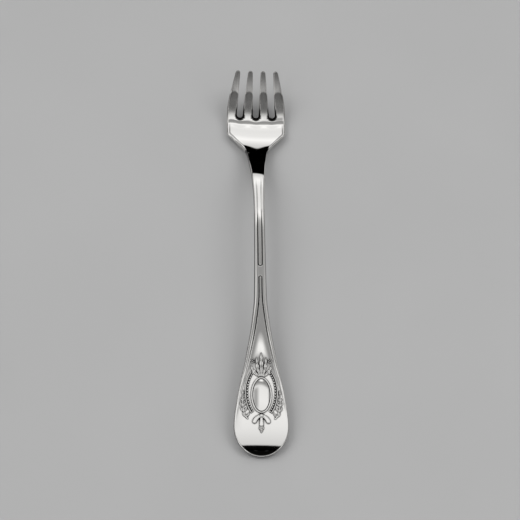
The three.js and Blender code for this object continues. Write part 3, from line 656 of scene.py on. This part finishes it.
def half_section(edge_u, edge_v, axis_v):
    """From the axis over the face to the edge, and back to the axis over the back."""
    half = math.hypot(edge_u, edge_v - axis_v)
    columns = border_columns(half, edge_v)
    share = columns / half
    face, back = both_sides(edge_u * share, lerp(axis_v, edge_v, share), half - columns, half)
    return np.concatenate([face, back[::-1]])


def tine_share(v):
    return min(1, max(0, (v - TINE_START) / (TINE_TIP - TINE_START)))


def slot_middle(v):
    return lerp(SLOT_PITCH, TIP_PITCH, tine_share(v))


def slot_half(v):
    if v < SLOT_ROOT:
        return 0
    if v < TINE_START:
        return math.sqrt(max(0, SLOT_RADIUS**2 - (TINE_START - v) ** 2))
    return lerp(SLOT_RADIUS, (TIP_PITCH - TIP_WIDTH) / 2, tine_share(v))


def to_nearest_slot(u, v):
    offsets = np.array([u - side * slot_middle(v) for side in (-1, 0, 1)])
    if v < TINE_START:
        return np.min(np.hypot(offsets, TINE_START - v), axis=0) - SLOT_RADIUS
    return np.min(np.abs(offsets), axis=0) - slot_half(v)


def slot_painted_shade(to_slot, v):
    """The painted shade on the lip of a slot: broad at the root and narrow beside it."""
    below = np.clip((TINE_START - v) / (to_slot + SLOT_RADIUS), 0, 1)
    fade = 1 - smoothstep(v, TINE_START, TINE_START + SLOT_SHADE_LENGTH)
    width = lerp(SLOT_SIDE_SHADE_WIDTH * fade, SLOT_SHADE_WIDTH, below)
    return np.clip((width - to_slot) / PAINTED_SHADE_BLUR, 0, 1)


def shoulder_line(from_outside, v):
    """The painted dark line, a dark reflection, inside the bevel of the head's edge."""
    across = (from_outside - face_round_at(v)) / (SHOULDER_LINE_WIDTH / 2) - 1
    return through(SHOULDER_LINE_KEYS, v) * np.clip(SHOULDER_LINE_CORE * (1 - np.abs(across)), 0, 1)


def past_tip(v):
    return min(1, max(0, (v - (TINE_TIP - TIP_ROUND)) / TIP_ROUND))


def strip_edges(strip, v):
    """The left and the right edge of one of the four strips that the head parts into."""
    middle = slot_line(v) if v < SLOT_ROOT else slot_middle(v)
    gap = slot_half(v)
    inner, outer = (middle + gap, half_width(v)) if strip in (0, 3) else (gap, middle - gap)
    drawn_in = (1 - math.sqrt(1 - past_tip(v) ** 2)) * (outer - inner) / 2
    inner, outer = inner + drawn_in, outer - drawn_in
    return (-outer, -inner) if strip < 2 else (inner, outer)


def strip_section(strip, v):
    """The face and the back across one strip, from left to right."""
    left, right = strip_edges(strip, v)
    half = half_width(v)
    most = EDGE_SHARE * min(right - left, through(EDGE_KEYS, v))
    u = strip_columns(left, right, v)
    along = np.full_like(u, v)
    from_edge = half - np.abs(u)
    from_outside = {0: u - left, 3: right - u}.get(strip, np.full_like(u, half))
    to_slot = np.maximum(0, to_nearest_slot(u, v))
    across = (2 * u - left - right) / (right - left)
    crown = TINE_CROWN * (1 - across**2) * smoothstep(v, SLOT_ROOT - SLOT_RADIUS, TINE_START + LIP_FADE)
    outer_drop = bevelled_drop(from_outside, min(face_round_at(v), most))
    lip_drop = rounded_drop(to_slot, min(lip_round_at(v), most))
    rod_drop = ROD_ROUND * smoothstep(v, ROD_START, ROD_END) * across**2
    back_drop = rounded_drop(np.minimum(from_outside, to_slot), min(BACK_ROUND, most))
    face = face_level(u, along, from_edge, half) + crown - hollow(u, v) - outer_drop - lip_drop - rod_drop
    back = back_level(along, from_edge, half) + back_drop
    thinning = math.sqrt(1 - (TIP_THINNING * past_tip(v)) ** 2)
    raised = cup(u, along)
    # Painted shade on the slots' lips, a painted dark reflection on the tines, and a painted dark line in the
    # shoulders
    painted_reflection = through(TINE_PAINTED_REFLECTION_KEYS, v - SLOT_ROOT + TINE_ARCH * across**2)
    dark = np.maximum(slot_painted_shade(to_slot, v), painted_reflection)
    dark = np.maximum(dark, shoulder_line(from_outside, v))
    return [np.stack([u, along, height * thinning + raised, dark], -1) for height in (face, back)]


def slab(sections, left_wall=True, right_wall=True):
    """The patches of a slab over sections."""
    faces = np.array([face for face, _ in sections])
    backs = np.array([back for _, back in sections])
    patches = [faces[::-1], backs]
    if left_wall:
        patches.append(np.stack([faces[:, 0], backs[:, 0]], 1))
    if right_wall:
        patches.append(np.stack([faces[::-1, -1], backs[::-1, -1]], 1))
    return patches


def end_cap(sides, onward):
    """The flat end of a slab, which faces on along the blank or back along it."""
    face, back = sides
    return np.stack([back, face] if onward else [face, back])


def steps(low, high, step):
    return np.linspace(low, high, math.ceil((high - low) / step) + 1)


def handle_skin():
    flank_places = steps(END_LENGTH, HANDLE_LENGTH, FLANK_STEP)
    right, left = ([half_section(side * half_width(v), v, v) for v in flank_places] for side in (1, -1))
    turns = np.linspace(0, math.pi, FAN_ROWS + 1)[1:-1]
    end = [
        half_section(HANDLE_WIDTH / 2 * math.cos(turn), END_LENGTH * (1 - math.sin(turn)), END_LENGTH)
        for turn in turns
    ]
    rows = np.array([*right[::-1], *end, *left])
    return [rows], [end_cap(section(STEM_START), True)]


def shaft_skin(low, high, step):
    sections = [section(v) for v in steps(low, high, step)]
    return slab(sections), [end_cap(sections[0], False), end_cap(sections[-1], True)]


def bowl_skin():
    near_root = SLOT_ROOT - HOLLOW_PLACE - HOLLOW_REACH[0]
    open_places = [*steps(BOWL_START, near_root, BOWL_STEP), *steps(near_root, SLOT_ROOT, ROOT_STEP)[1:]]
    turns = np.linspace(0, math.pi / 2, ROOT_TURNS + 1)
    stub_places = [SLOT_ROOT, *(TINE_START - SLOT_RADIUS * np.cos(turns[1:-1])), TINE_START]
    patches, caps = [], [end_cap(section(BOWL_START), False)]
    for strip in range(4):
        patches += slab([strip_section(strip, v) for v in open_places], strip == 0, strip == 3)
        stub = [strip_section(strip, v) for v in stub_places]
        patches += slab(stub)
        caps.append(end_cap(stub[-1], True))
    return patches, caps


def tine_skin(strip):
    turns = np.linspace(0, math.radians(TIP_END), TIP_TURNS + 1)[1:]
    tip_places = TINE_TIP - TIP_ROUND * (1 - np.sin(turns))
    places = [*steps(TINE_START, TINE_TIP - TIP_ROUND, TINE_STEP), *tip_places]
    sections = [strip_section(strip, v) for v in places]
    return slab(sections), [end_cap(sections[0], False), end_cap(sections[-1], True)]


# The middle of the bent fork's length, from the end of its handle and the end of an inner tine
END = BEND(half_section(0, 0, END_LENGTH)[:, :3])
TIP = BEND(np.concatenate(tine_skin(1)[1])[..., :3])
MIDDLE = (END[:, 1].min() + TIP[..., 1].max()) / 2


# Meshes


def patch_quads(shape, start):
    rows, columns = shape
    index = start + np.arange(rows * columns).reshape(rows, columns)
    return np.stack([index[:-1, :-1], index[1:, :-1], index[1:, 1:], index[:-1, 1:]], -1).reshape(-1, 4)


def weld_keys(points):
    return np.round(points / WELD).astype(np.int64)


def welded(points):
    """Points with those in one place joined, the first of each, and where each went."""
    _, first, where = np.unique(weld_keys(points), axis=0, return_index=True, return_inverse=True)
    return points[first], first, where.ravel()


def corner_normals(points, quads):
    """Normals at points, from the corners of the quads there, weighted by their angles."""
    normals = np.zeros_like(points)
    for k in range(4):
        corner = points[quads[:, k]]
        onward = points[quads[:, (k + 1) % 4]] - corner
        backward = points[quads[:, k - 1]] - corner
        normal = np.cross(onward, backward)
        size = np.linalg.norm(normal, axis=1)
        angle = np.arctan2(size, np.sum(onward * backward, axis=1))
        weight = np.where(size > 0, angle / np.where(size > 0, size, 1), 0)
        np.add.at(normals, quads[:, k], normal * weight[:, None])
    size = np.linalg.norm(normals, axis=1, keepdims=True)
    return normals / np.where(size > 0, size, 1)


def add_object(name, data):
    added = bpy.data.objects.new(name, data)
    bpy.context.scene.collection.objects.link(added)
    return added


def make_object(name, points, smooth_faces, flat_faces, normals, painted_shading):
    """A mesh object in metres, with smooth normals on its skin and flat ones on its hidden ends."""
    faces = [list(dict.fromkeys(face)) for face in smooth_faces.tolist()]
    faces = [face for face in faces if len(face) > 2]
    corner_normal = [normals[face] for face in faces]
    for face in flat_faces:
        a, b, c = points[face[:3]]
        normal = np.cross(b - a, c - a)
        normal = normal / max(np.linalg.norm(normal), TINY)
        corner_normal.append(np.tile(normal, (len(face), 1)))
    mesh = bpy.data.meshes.new(name)
    mesh.from_pydata((points * MM).tolist(), [], [*faces, *flat_faces], shade_flat=False)
    mesh.normals_split_custom_set(np.concatenate(corner_normal).tolist())
    dark = mesh.attributes.new("tarnish", "FLOAT", "POINT")
    dark.data.foreach_set("value", np.asarray(painted_shading, np.float32))
    return add_object(name, mesh)


def finish_piece(piece, node, material):
    piece.data.materials.append(material)
    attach(piece, "root")
    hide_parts(node)


def make_body(body, material):
    """The pieces of the body. Their points are taken together, so that normals run on over the pieces."""
    patches = [patch for own, _ in body.values() for patch in own]
    blank = np.concatenate([patch.reshape(-1, 4) for patch in patches])
    points, first, where = welded(set_down(blank))
    painted_shading = blank[first, 3]
    starts = np.cumsum([0, *(patch.shape[0] * patch.shape[1] for patch in patches)])
    quads = [where[patch_quads(patch.shape[:2], start)] for patch, start in zip(patches, starts)]
    normals = corner_normals(points, np.concatenate(quads))
    taken = 0
    for node, (own, caps) in body.items():
        used, corners = np.unique(np.concatenate(quads[taken:taken + len(own)]), return_inverse=True)
        taken += len(own)
        known = {tuple(key): i for i, key in enumerate(weld_keys(points[used]).tolist())}
        flat = []
        for cap in caps:
            keys = weld_keys(set_down(cap.reshape(-1, 4))).tolist()
            cap_corners = np.array([known[tuple(key)] for key in keys])
            flat += cap_corners[patch_quads(cap.shape[:2], 0)].tolist()
        piece = make_object(
            node + "_skin", points[used], corners.reshape(-1, 4), flat, normals[used], painted_shading[used]
        )
        finish_piece(piece, node, material)


# The relief on the handle: height fields over the face, each on a patch of its own


def handle_face(u, v):
    """The height of the handle's face in the blank."""
    past = np.maximum(0, END_LENGTH - v)
    reach = np.hypot(u, past)
    on_axis = reach < WELD
    fan = reach / np.where(on_axis, 1, np.hypot(u / (HANDLE_WIDTH / 2), past / END_LENGTH))
    half = np.where(on_axis, END_LENGTH, np.where(past > 0, fan, half_width(v)))
    return face_height(u, v, half - np.where(past > 0, reach, np.abs(u)), half)


def oval_distance(u, v, middle, half):
    """How far points lie outside an oval."""
    across, along = half
    x, y = u / across, (v - middle) / along
    reach = np.hypot(x, y)
    return (reach - 1) * reach / np.maximum(np.hypot(x / across, y / along), WELD)


def bowed(start, end, bow):
    """Points on a curve from one point to another, which leaves the straight line by its bow."""
    start, end = np.array(start, float), np.array(end, float)
    aside = np.array([end[1] - start[1], start[0] - end[0]])
    middle = (start + end) / 2 + 2 * bow * aside / np.linalg.norm(aside)
    t = np.linspace(0, 1, CURVE_POINTS)[:, None]
    return (1 - t) ** 2 * start + 2 * t * (1 - t) * middle + t**2 * end


def beside_curve(u, v, curve):
    """For points: how far along a curve they are, from 0 to 1, and how far to its side."""
    start, step = curve[:-1], np.diff(curve, axis=0)
    offset = np.stack([u, v], -1)[..., None, :] - start
    share = np.clip(np.sum(offset * step, -1) / np.sum(step**2, -1), 0, 1)
    gap = offset - share[..., None] * step
    distance = np.linalg.norm(gap, axis=-1)
    nearest = np.argmin(distance, -1)[..., None]
    along = (np.take_along_axis(share, nearest, -1)[..., 0] + nearest[..., 0]) / len(step)
    side = np.take_along_axis(step[:, 0] * gap[..., 1] - step[:, 1] * gap[..., 0], nearest, -1)[..., 0]
    return along, np.copysign(np.take_along_axis(distance, nearest, -1)[..., 0], side)


def beyond(distance):
    """The height outside a motif, which falls off steeply."""
    return -RELIEF_FALL * np.maximum(0, distance)


def bulge(share, power):
    """The section of a motif: 1 at its middle and 0 at its edge."""
    return np.sqrt(np.maximum(0, 1 - share**power))


def dome(distance, half, height):
    """A rounded ridge or boss: its height at a distance from its middle."""
    share = np.abs(distance) / half
    return np.where(share < 1, height * bulge(share, DOME_POWER), beyond(np.abs(distance) - half))


def leaf(u, v, curve, width, height, lobes=0):
    """A leaf along a curve, with a middle rib and side veins, and lobes along its edges where it has them."""
    along, aside = beside_curve(u, v, curve)
    fullness = np.sin(math.pi * along**LEAF_FULLNESS) ** LEAF_BLUNTNESS
    half = width / 2 * lerp(LEAF_TIP, 1, fullness)
    if lobes:
        half = half * (1 - LOBE_DEPTH * (1 - np.abs(np.sin(math.pi * lobes * along))))
    share = np.abs(aside) / half
    body = height * lerp(LEAF_LIFT, 1, fullness) * bulge(share, DOME_POWER)
    rib = RIB_DEPTH * np.exp(-((aside / RIB_WIDTH) ** 2)) * fullness
    wave = (1 + np.cos(2 * math.pi * VEINS * (along - VEIN_SLANT * share))) / 2
    vein = VEIN_DEPTH * wave * np.clip(share / VEIN_START, 0, 1)
    return np.where(share < 1, body * (1 - rib - vein), beyond(np.abs(aside) - half))


def leaves(u, v, base, shapes, lobes=0):
    """Leaves on both sides of the axis, from a place on it."""
    heights = []
    for shape in shapes:
        (foot_u, foot_v), (tip_u, tip_v) = shape["foot"], shape["tip"]
        curve = bowed((foot_u, base + foot_v), (tip_u, base + tip_v), shape["bow"])
        heights.append(leaf(np.abs(u), v, curve, shape["width"], shape["height"], lobes))
    return np.max(heights, axis=0)


def medallion(u, v):
    half = MEDALLION_WIDTH / 2
    x, y = u / half, (v - MEDALLION_PLACE) / (MEDALLION_LENGTH / 2)
    reach = np.hypot(x, y)
    top = MEDALLION_WALL + (MEDALLION_HEIGHT - MEDALLION_WALL) * (1 - x**2 - MEDALLION_END_FALL * y**2)
    return np.where(reach < 1, top, beyond((reach - 1) * half))


def medallion_rim(u, v):
    return dome(oval_distance(u, v, MEDALLION_PLACE, RIM_HALF), RIM_WIDTH / 2, RIM_HEIGHT)


def bead_band(u, v):
    angles = np.radians(np.linspace(BEAD_BOTTOM_ANGLE, BEAD_TOP_ANGLE, ARC_POINTS))
    arc = np.stack([BEAD_HALF[0] * np.cos(angles), BEAD_OVAL_PLACE + BEAD_HALF[1] * np.sin(angles)], -1)
    length = np.linalg.norm(np.diff(arc, axis=0), axis=1).sum()
    along, aside = beside_curve(u, v, arc)
    string = dome(aside, STRING_WIDTH / 2, STRING_HEIGHT)
    height = np.where(np.minimum(along, 1 - along) > 0, string, -RELIEF_SINK)
    for bead_place in np.linspace(0, length, round(length / BEAD_PITCH) + 1):
        from_middle = along * length - bead_place
        reach = np.hypot(aside, from_middle * BEAD_DIAMETER / BEAD_LENGTH)
        height = np.maximum(height, dome(reach, BEAD_DIAMETER / 2, BEAD_HEIGHT))
    return height


def outer_rim(u, v):
    """The thin line outside the beads, which runs over the same arc."""
    across, along = OUTER_HALF
    ridge = dome(oval_distance(u, v, BEAD_OVAL_PLACE, OUTER_HALF), OUTER_RIM_WIDTH / 2, OUTER_RIM_HEIGHT)
    angle = np.degrees(np.arctan2((v - BEAD_OVAL_PLACE) / along, u / across))
    past_end = np.radians(np.maximum(angle - BEAD_TOP_ANGLE, BEAD_BOTTOM_ANGLE - angle)) * across
    return np.minimum(ridge, beyond(past_end) + OUTER_RIM_HEIGHT)


def crest_leaves(u, v):
    return leaves(u, v, CREST_BASE, CREST_LEAVES, CREST_LOBES)


def crest_flower(u, v):
    x, y = u - FLOWER_SPREAD, v - CREST_BASE - FLOWER_PLACE
    reach = np.hypot(x, y)
    petal = np.abs(np.cos(FLOWER_PETALS / 2 * np.arctan2(y, x)))
    edge = FLOWER_RADIUS * lerp(FLOWER_NOTCH, 1, np.sqrt(petal))
    share = reach / edge
    petals = FLOWER_HEIGHT * lerp(FLOWER_VALLEY, 1, petal) * bulge(share, PETAL_POWER)
    ring = EYE_RING_DEPTH * np.exp(-(((reach - EYE_RING_RADIUS) / EYE_RING_WIDTH) ** 2))
    petals = np.where(share < 1, petals * (1 - ring), beyond(reach - edge))
    return np.maximum(petals, dome(reach, EYE_RADIUS, FLOWER_HEIGHT))


def ribbon_tail(u, v, tip, bow, opening):
    """A tail of the ribbon, which widens from the knot and is lower along its middle."""
    along, aside = beside_curve(u, v, bowed((0, KNOT_PLACE), tip, bow))
    half = RIBBON_WIDTH / 2 * lerp(RIBBON_FOOT, 1, along**opening)
    share = np.abs(aside) / half
    fold = RIBBON_HEIGHT * lerp(RIBBON_FOLD, 1, share**2) * bulge(share, RIBBON_POWER)
    return np.where(share < 1, fold, beyond(np.abs(aside) - half))


def ribbon_bow(u, v):
    across = np.abs(u)
    side = ribbon_tail(across, v, (RIBBON_SPREAD, RIBBON_TOP - RIBBON_DROP), -RIBBON_BOW, SIDE_TAIL_OPENING)
    hanging = ribbon_tail(across, v, (0, RIBBON_TOP - RIBBON_LENGTH), 0, HANGING_TAIL_OPENING)
    knot = dome(np.hypot(u, v - KNOT_PLACE), KNOT_RADIUS, KNOT_HEIGHT)
    return np.max([side, hanging, knot], axis=0)


def husk_drop(u, v):
    return leaves(u, v, HUSK_TOP, HUSK_LEAVES)


def spray_room(v):
    """The middle and the width of the room between the outer rim and the thread border."""
    up = np.clip((v - BEAD_OVAL_PLACE) / OUTER_REACH[1], -1, 1)
    inner = OUTER_REACH[0] * np.sqrt(1 - up**2) + MOTIF_GAP
    outer = panel_half(v) - GROOVE_WIDTH / 2 - MOTIF_GAP
    return (inner + outer) / 2, outer - inner


def leaf_spray(u, v):
    """A stem with pairs of leaves and a leaf at its tip."""
    places = np.linspace(SPRAY_LOW, SPRAY_HIGH, CURVE_POINTS)
    middles, room = spray_room(places)
    stem = np.stack([middles, places], -1)
    along, aside = beside_curve(u, v, stem)
    half = lerp(SPRAY_STEM_WIDTH, SPRAY_STEM_TIP_WIDTH, along) / 2
    stem_height = np.where(np.abs(aside) < half, SPRAY_STEM_HEIGHT, beyond(np.abs(aside) - half))
    curves = [bowed(stem[-1], stem[-1] + (0, SPRAY_TIP_LEAF_LENGTH), 0)]
    step = (SPRAY_HIGH - SPRAY_LOW) / (SPRAY_LEAF_PAIRS + SPRAY_TOP_ROOM)
    angle = math.radians(SPRAY_LEAF_ANGLE)
    for pair in range(SPRAY_LEAF_PAIRS):
        foot_v = SPRAY_LOW + step * (pair + SPRAY_FOOT_ROOM)
        foot_u = np.interp(foot_v, places, middles)
        space = np.interp(foot_v + step / 2, places, room) / 2
        length = min(SPRAY_LEAF_LENGTH, space / math.sin(angle))
        for side in (-1, 1):
            tip = (foot_u + side * length * math.sin(angle), foot_v + length * math.cos(angle))
            curves.append(bowed((foot_u, foot_v), tip, SPRAY_LEAF_BOW * side))
    heights = [leaf(u, v, curve, SPRAY_LEAF_WIDTH, SPRAY_LEAF_HEIGHT) for curve in curves]
    return np.max([stem_height, *heights], axis=0)


def without_crossings(kept):
    """Which squares of a grid are kept, with more of them where two meet at a corner only."""
    while True:
        rising = kept[:-1, :-1] & kept[1:, 1:] & ~kept[1:, :-1] & ~kept[:-1, 1:]
        falling = kept[1:, :-1] & kept[:-1, 1:] & ~kept[:-1, :-1] & ~kept[1:, 1:]
        if not (rising.any() or falling.any()):
            return kept
        kept[1:, :-1] |= rising
        kept[:-1, :-1] |= falling


def make_relief(node, box, height, material, dark_below=RELIEF_PAINTED_SHADE, side=1):
    """A struck motif: its height field over the face, closed under it. The left side mirrors the right."""
    left, right = sorted((side * box[0], side * box[1]))
    u, v = np.meshgrid(steps(left, right, RELIEF_STEP), steps(*box[2:], RELIEF_STEP), indexing="ij")
    rise = np.maximum(height(side * u, v), -RELIEF_SINK)
    above = rise > -RELIEF_SINK
    kept = without_crossings(above[:-1, :-1] | above[1:, :-1] | above[1:, 1:] | above[:-1, 1:])
    face = handle_face(u, v)
    top_quads = patch_quads(u.shape, 0)[kept.ravel()]
    bottom_quads = top_quads[:, ::-1] + u.size
    edges = np.concatenate([top_quads[:, [k, (k + 1) % 4]] for k in range(4)])
    codes = edges[:, 0] * u.size + edges[:, 1]
    rim = edges[~np.isin(codes, edges[:, 1] * u.size + edges[:, 0])]
    walls = np.concatenate([rim[:, ::-1], rim + u.size], 1)
    levels = (face + rise, face - RELIEF_FOOT)
    points = set_down(np.concatenate([np.stack([u, v, level], -1).reshape(-1, 3) for level in levels]))
    # Painted shade at the foot of the motif, where its metal is low
    dark = np.clip((1 - rise.ravel() / dark_below) / (1 - FULL_SHADE_SHARE), 0, 1)
    dark = np.concatenate([dark, np.ones(u.size)])
    normals = corner_normals(points, top_quads)
    used, corners = np.unique(np.concatenate([top_quads, bottom_quads, walls]), return_inverse=True)
    corners = corners.reshape(-1, 4)
    count = len(top_quads)
    piece = make_object(
        node + "_relief", points[used], corners[:count], corners[count:].tolist(), normals[used], dark[used]
    )
    finish_piece(piece, node, material)


# The scene


def node_maker(tree):
    """Makes a node of a kind, sets its options and inputs, and links the sockets that it is given."""

    def make(kind, inputs=None, **options):
        node = tree.nodes.new("ShaderNode" + kind)
        for option, value in options.items():
            setattr(node, option, value)
        for socket, value in (inputs or {}).items():
            if isinstance(value, bpy.types.NodeSocket):
                tree.links.new(value, node.inputs[socket])
            else:
                node.inputs[socket].default_value = value
        return node

    return make


def map_range(make, value, start, end=(0, 1), smooth=False):
    """A value carried over from one range to another."""
    ranges = {"From Min": start[0], "From Max": start[1], "To Min": end[0], "To Max": end[1]}
    interpolation = "SMOOTHSTEP" if smooth else "LINEAR"
    return make("MapRange", {"Value": value, **ranges}, interpolation_type=interpolation).outputs["Result"]


def calculate(make, operation, *values):
    return make("Math", dict(enumerate(values)), operation=operation).outputs[0]


def mixed(make, share, first, second):
    return make("Mix", {"Factor": share, "A": first, "B": second}, data_type="RGBA").outputs["Result"]


def ramp(make, value, limits, stops):
    """A brightness by (place, brightness) stops between the limits of a value."""
    low, high = limits
    node = make("ValToRGB", {"Fac": map_range(make, value, limits)})
    elements = node.color_ramp.elements
    while len(elements) < len(stops):
        elements.new(0.5)
    for element, (place, brightness) in zip(elements, stops):
        element.position = (place - low) / (high - low)
        element.color = (brightness, brightness, brightness, 1)
    return node.outputs["Color"]


def new_material(name):
    """A material, the inputs of its shader, the maker of its nodes and the maker of its links."""
    material = bpy.data.materials.new(name)
    material.use_nodes = True
    tree = material.node_tree
    return material, tree.nodes["Principled BSDF"].inputs, node_maker(tree), tree.links.new


def metal(name, roughness):
    """Polished metal with a fine grain of wear, satin on the tines, and painted shade and dark reflections
    mixed into its colour.
    """
    material, inputs, make, link = new_material(name)
    inputs["Metallic"].default_value = 1
    coordinate = make("TexCoord").outputs["Object"]
    smudge = make("TexNoise", {"Vector": coordinate, "Scale": SMUDGE_SCALE, "Detail": SMUDGE_DETAIL})
    rough = map_range(make, smudge.outputs["Fac"], SMUDGE_RANGE, roughness)
    along = make("SeparateXYZ", {"Vector": coordinate}).outputs["Y"]
    rise, fall = ([place * MM for place in places] for places in (SATIN_RISE, SATIN_FALL))
    rising = map_range(make, along, rise, (0, SATIN_ROUGHNESS), smooth=True)
    falling = map_range(make, along, fall, (SATIN_ROUGHNESS, SATIN_TIP_ROUGHNESS), smooth=True)
    link(calculate(make, "ADD", rough, calculate(make, "MINIMUM", rising, falling)), inputs["Roughness"])
    # The painted shade carried by the points darkens the colour
    dark = make("Attribute", attribute_name="tarnish", attribute_type="GEOMETRY").outputs["Fac"]
    # And painted shade in recesses, from ambient occlusion
    openness = make("AmbientOcclusion", {"Distance": RECESS_REACH * MM}, samples=RECESS_SAMPLES).outputs["AO"]
    darkest = calculate(make, "MAXIMUM", dark, map_range(make, openness, RECESS_RANGE, (1, 0)))
    link(mixed(make, darkest, (*METAL_COLOUR, 1), (*PAINTED_SHADE_COLOUR, 1)), inputs["Base Color"])
    return material


def table_material():
    material, inputs, make, link = new_material("table")
    inputs["Roughness"].default_value = TABLE_ROUGHNESS
    inputs["Specular IOR Level"].default_value = TABLE_GLOSS
    coordinate = make("TexCoord").outputs["Object"]
    mottle = make("TexNoise", {"Vector": coordinate, "Scale": MOTTLE_SCALE, "Detail": MOTTLE_DETAIL})
    link(map_range(make, mottle.outputs["Fac"], (0, 1), TABLE_TONES), inputs["Base Color"])
    return material


def with_patch(make, colour, lean, angle, patch):
    """The room's colour with a patch of one brightness in it."""
    leans, angles, brightness = patch
    fade = (0, 1, 1, 0)
    across = ramp(make, lean, SIDES, list(zip(leans, fade)))
    along = ramp(make, angle, HORIZONS, list(zip(angles, fade)))
    inside = calculate(make, "MULTIPLY", across, along)
    return mixed(make, inside, colour, (brightness, brightness, brightness, 1))


def make_room():
    world = bpy.data.worlds.new("room")
    bpy.context.scene.world = world
    world.use_nodes = True
    tree = world.node_tree
    make = node_maker(tree)
    way = make("SeparateXYZ", {"Vector": make("TexCoord").outputs["Generated"]}).outputs
    lean = way["X"]
    toward = calculate(make, "MULTIPLY", way["Y"], -1)
    angle = calculate(make, "DEGREES", calculate(make, "ARCTAN2", toward, way["Z"]))
    colour = ramp(make, angle, HORIZONS, ROOM)
    for patch in (WINDOW, POST):
        colour = with_patch(make, colour, lean, angle, patch)
    walls = ramp(make, lean, SIDES, WALLS)
    beside = map_range(make, calculate(make, "ABSOLUTE", lean), WALL_START, smooth=True)
    before_end = map_range(make, angle, WALL_END)
    colour = mixed(make, calculate(make, "MULTIPLY", beside, before_end), colour, walls)
    tree.links.new(colour, tree.nodes["Background"].inputs["Color"])


def direction(azimuth, elevation):
    """The way to something, by its azimuth from straight behind the tines to the right, and its elevation."""
    turn, rise = math.radians(azimuth), math.radians(elevation)
    return Vector((math.sin(turn) * math.cos(rise), math.cos(turn) * math.cos(rise), math.sin(rise)))


def make_lamp(azimuth, elevation, power):
    """A soft lamp, which lights the table."""
    data = bpy.data.lights.new("lamp", "SUN")
    data.angle = math.radians(LAMP_ANGLE)
    data.energy = power
    lamp = add_object("lamp", data)
    lamp.rotation_euler = direction(azimuth, elevation).to_track_quat("Z", "Y").to_euler()
    lamp.visible_glossy = False


def make_camera():
    """The camera, rolled, and turned aside so that the fork's middle lies at its pixel."""
    from_middle = direction(CAMERA_AZIMUTH, CAMERA_ELEVATION)
    roll = math.radians(CAMERA_ROLL)
    level_right = (-from_middle).cross(Vector((0, 0, 1))).normalized()
    level_up = level_right.cross(-from_middle)
    right = level_right * math.cos(roll) + level_up * math.sin(roll)
    up = level_up * math.cos(roll) - level_right * math.sin(roll)
    focal = CAMERA_SCALE * CAMERA_DISTANCE  # pixels
    aside, above = ((PICTURE_SIZE / 2 - pixel) / focal for pixel in MIDDLE_PIXEL)
    back = (from_middle - right * aside + up * above).normalized()
    right = (right - back * right.dot(back)).normalized()
    turn = Matrix((right, back.cross(right), back)).transposed()
    data = bpy.data.cameras.new("camera")
    data.sensor_width = SENSOR_WIDTH
    data.lens = focal / PICTURE_SIZE * SENSOR_WIDTH
    camera = add_object("camera", data)
    stand = (Vector((0, 0, MIDDLE_HEIGHT)) + from_middle * CAMERA_DISTANCE) * MM
    camera.matrix_world = Matrix.LocRotScale(stand, turn.to_quaternion(), None)
    bpy.context.scene.camera = camera


def make_table():
    half = TABLE_HALF * MM
    mesh = bpy.data.meshes.new("table")
    corners = [(-half, -half, 0), (half, -half, 0), (half, half, 0), (-half, half, 0)]
    mesh.from_pydata(corners, [], [(0, 1, 2, 3)])
    mesh.materials.append(table_material())
    table = add_object("table", mesh)
    table.location.z = -TABLE_DROP * MM


for unwanted in list(bpy.data.objects):
    bpy.data.objects.remove(unwanted)
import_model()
bpy.context.scene.view_settings.view_transform = "Standard"
make_camera()
make_room()
for lamp in LAMPS:
    make_lamp(*lamp)
make_table()

polished = metal("polished_metal", POLISHED_ROUGHNESS)
struck = metal("relief_metal", STRUCK_ROUGHNESS)

make_body({
    "handle": handle_skin(),
    "stem": shaft_skin(STEM_START, NECK_START, STEM_STEP),
    "neck": shaft_skin(NECK_START, BOWL_START, NECK_STEP),
    "bowl": bowl_skin(),
    "tine_outer_left": tine_skin(0),
    "tine_inner_left": tine_skin(1),
    "tine_inner_right": tine_skin(2),
    "tine_outer_right": tine_skin(3),
}, polished)
make_relief("medallion", MEDALLION_BOX, medallion, polished, RIM_PAINTED_SHADE)
make_relief("medallion_rim", RIM_BOX, medallion_rim, struck, RIM_PAINTED_SHADE)
make_relief("crest_leaves", CREST_BOX, crest_leaves, struck)
make_relief("ribbon_bow", RIBBON_BOX, ribbon_bow, struck)
make_relief("husk_drop", HUSK_BOX, husk_drop, struck)
for side, name in ((-1, "left"), (1, "right")):
    make_relief("bead_band_" + name, BEAD_BOX, bead_band, struck, BEAD_PAINTED_SHADE, side)
    make_relief("outer_rim_" + name, OUTER_RIM_BOX, outer_rim, struck, side=side)
    make_relief("crest_flower_" + name, FLOWER_BOX, crest_flower, struck, side=side)
    make_relief("leaf_spray_" + name, SPRAY_BOX, leaf_spray, struck, side=side)
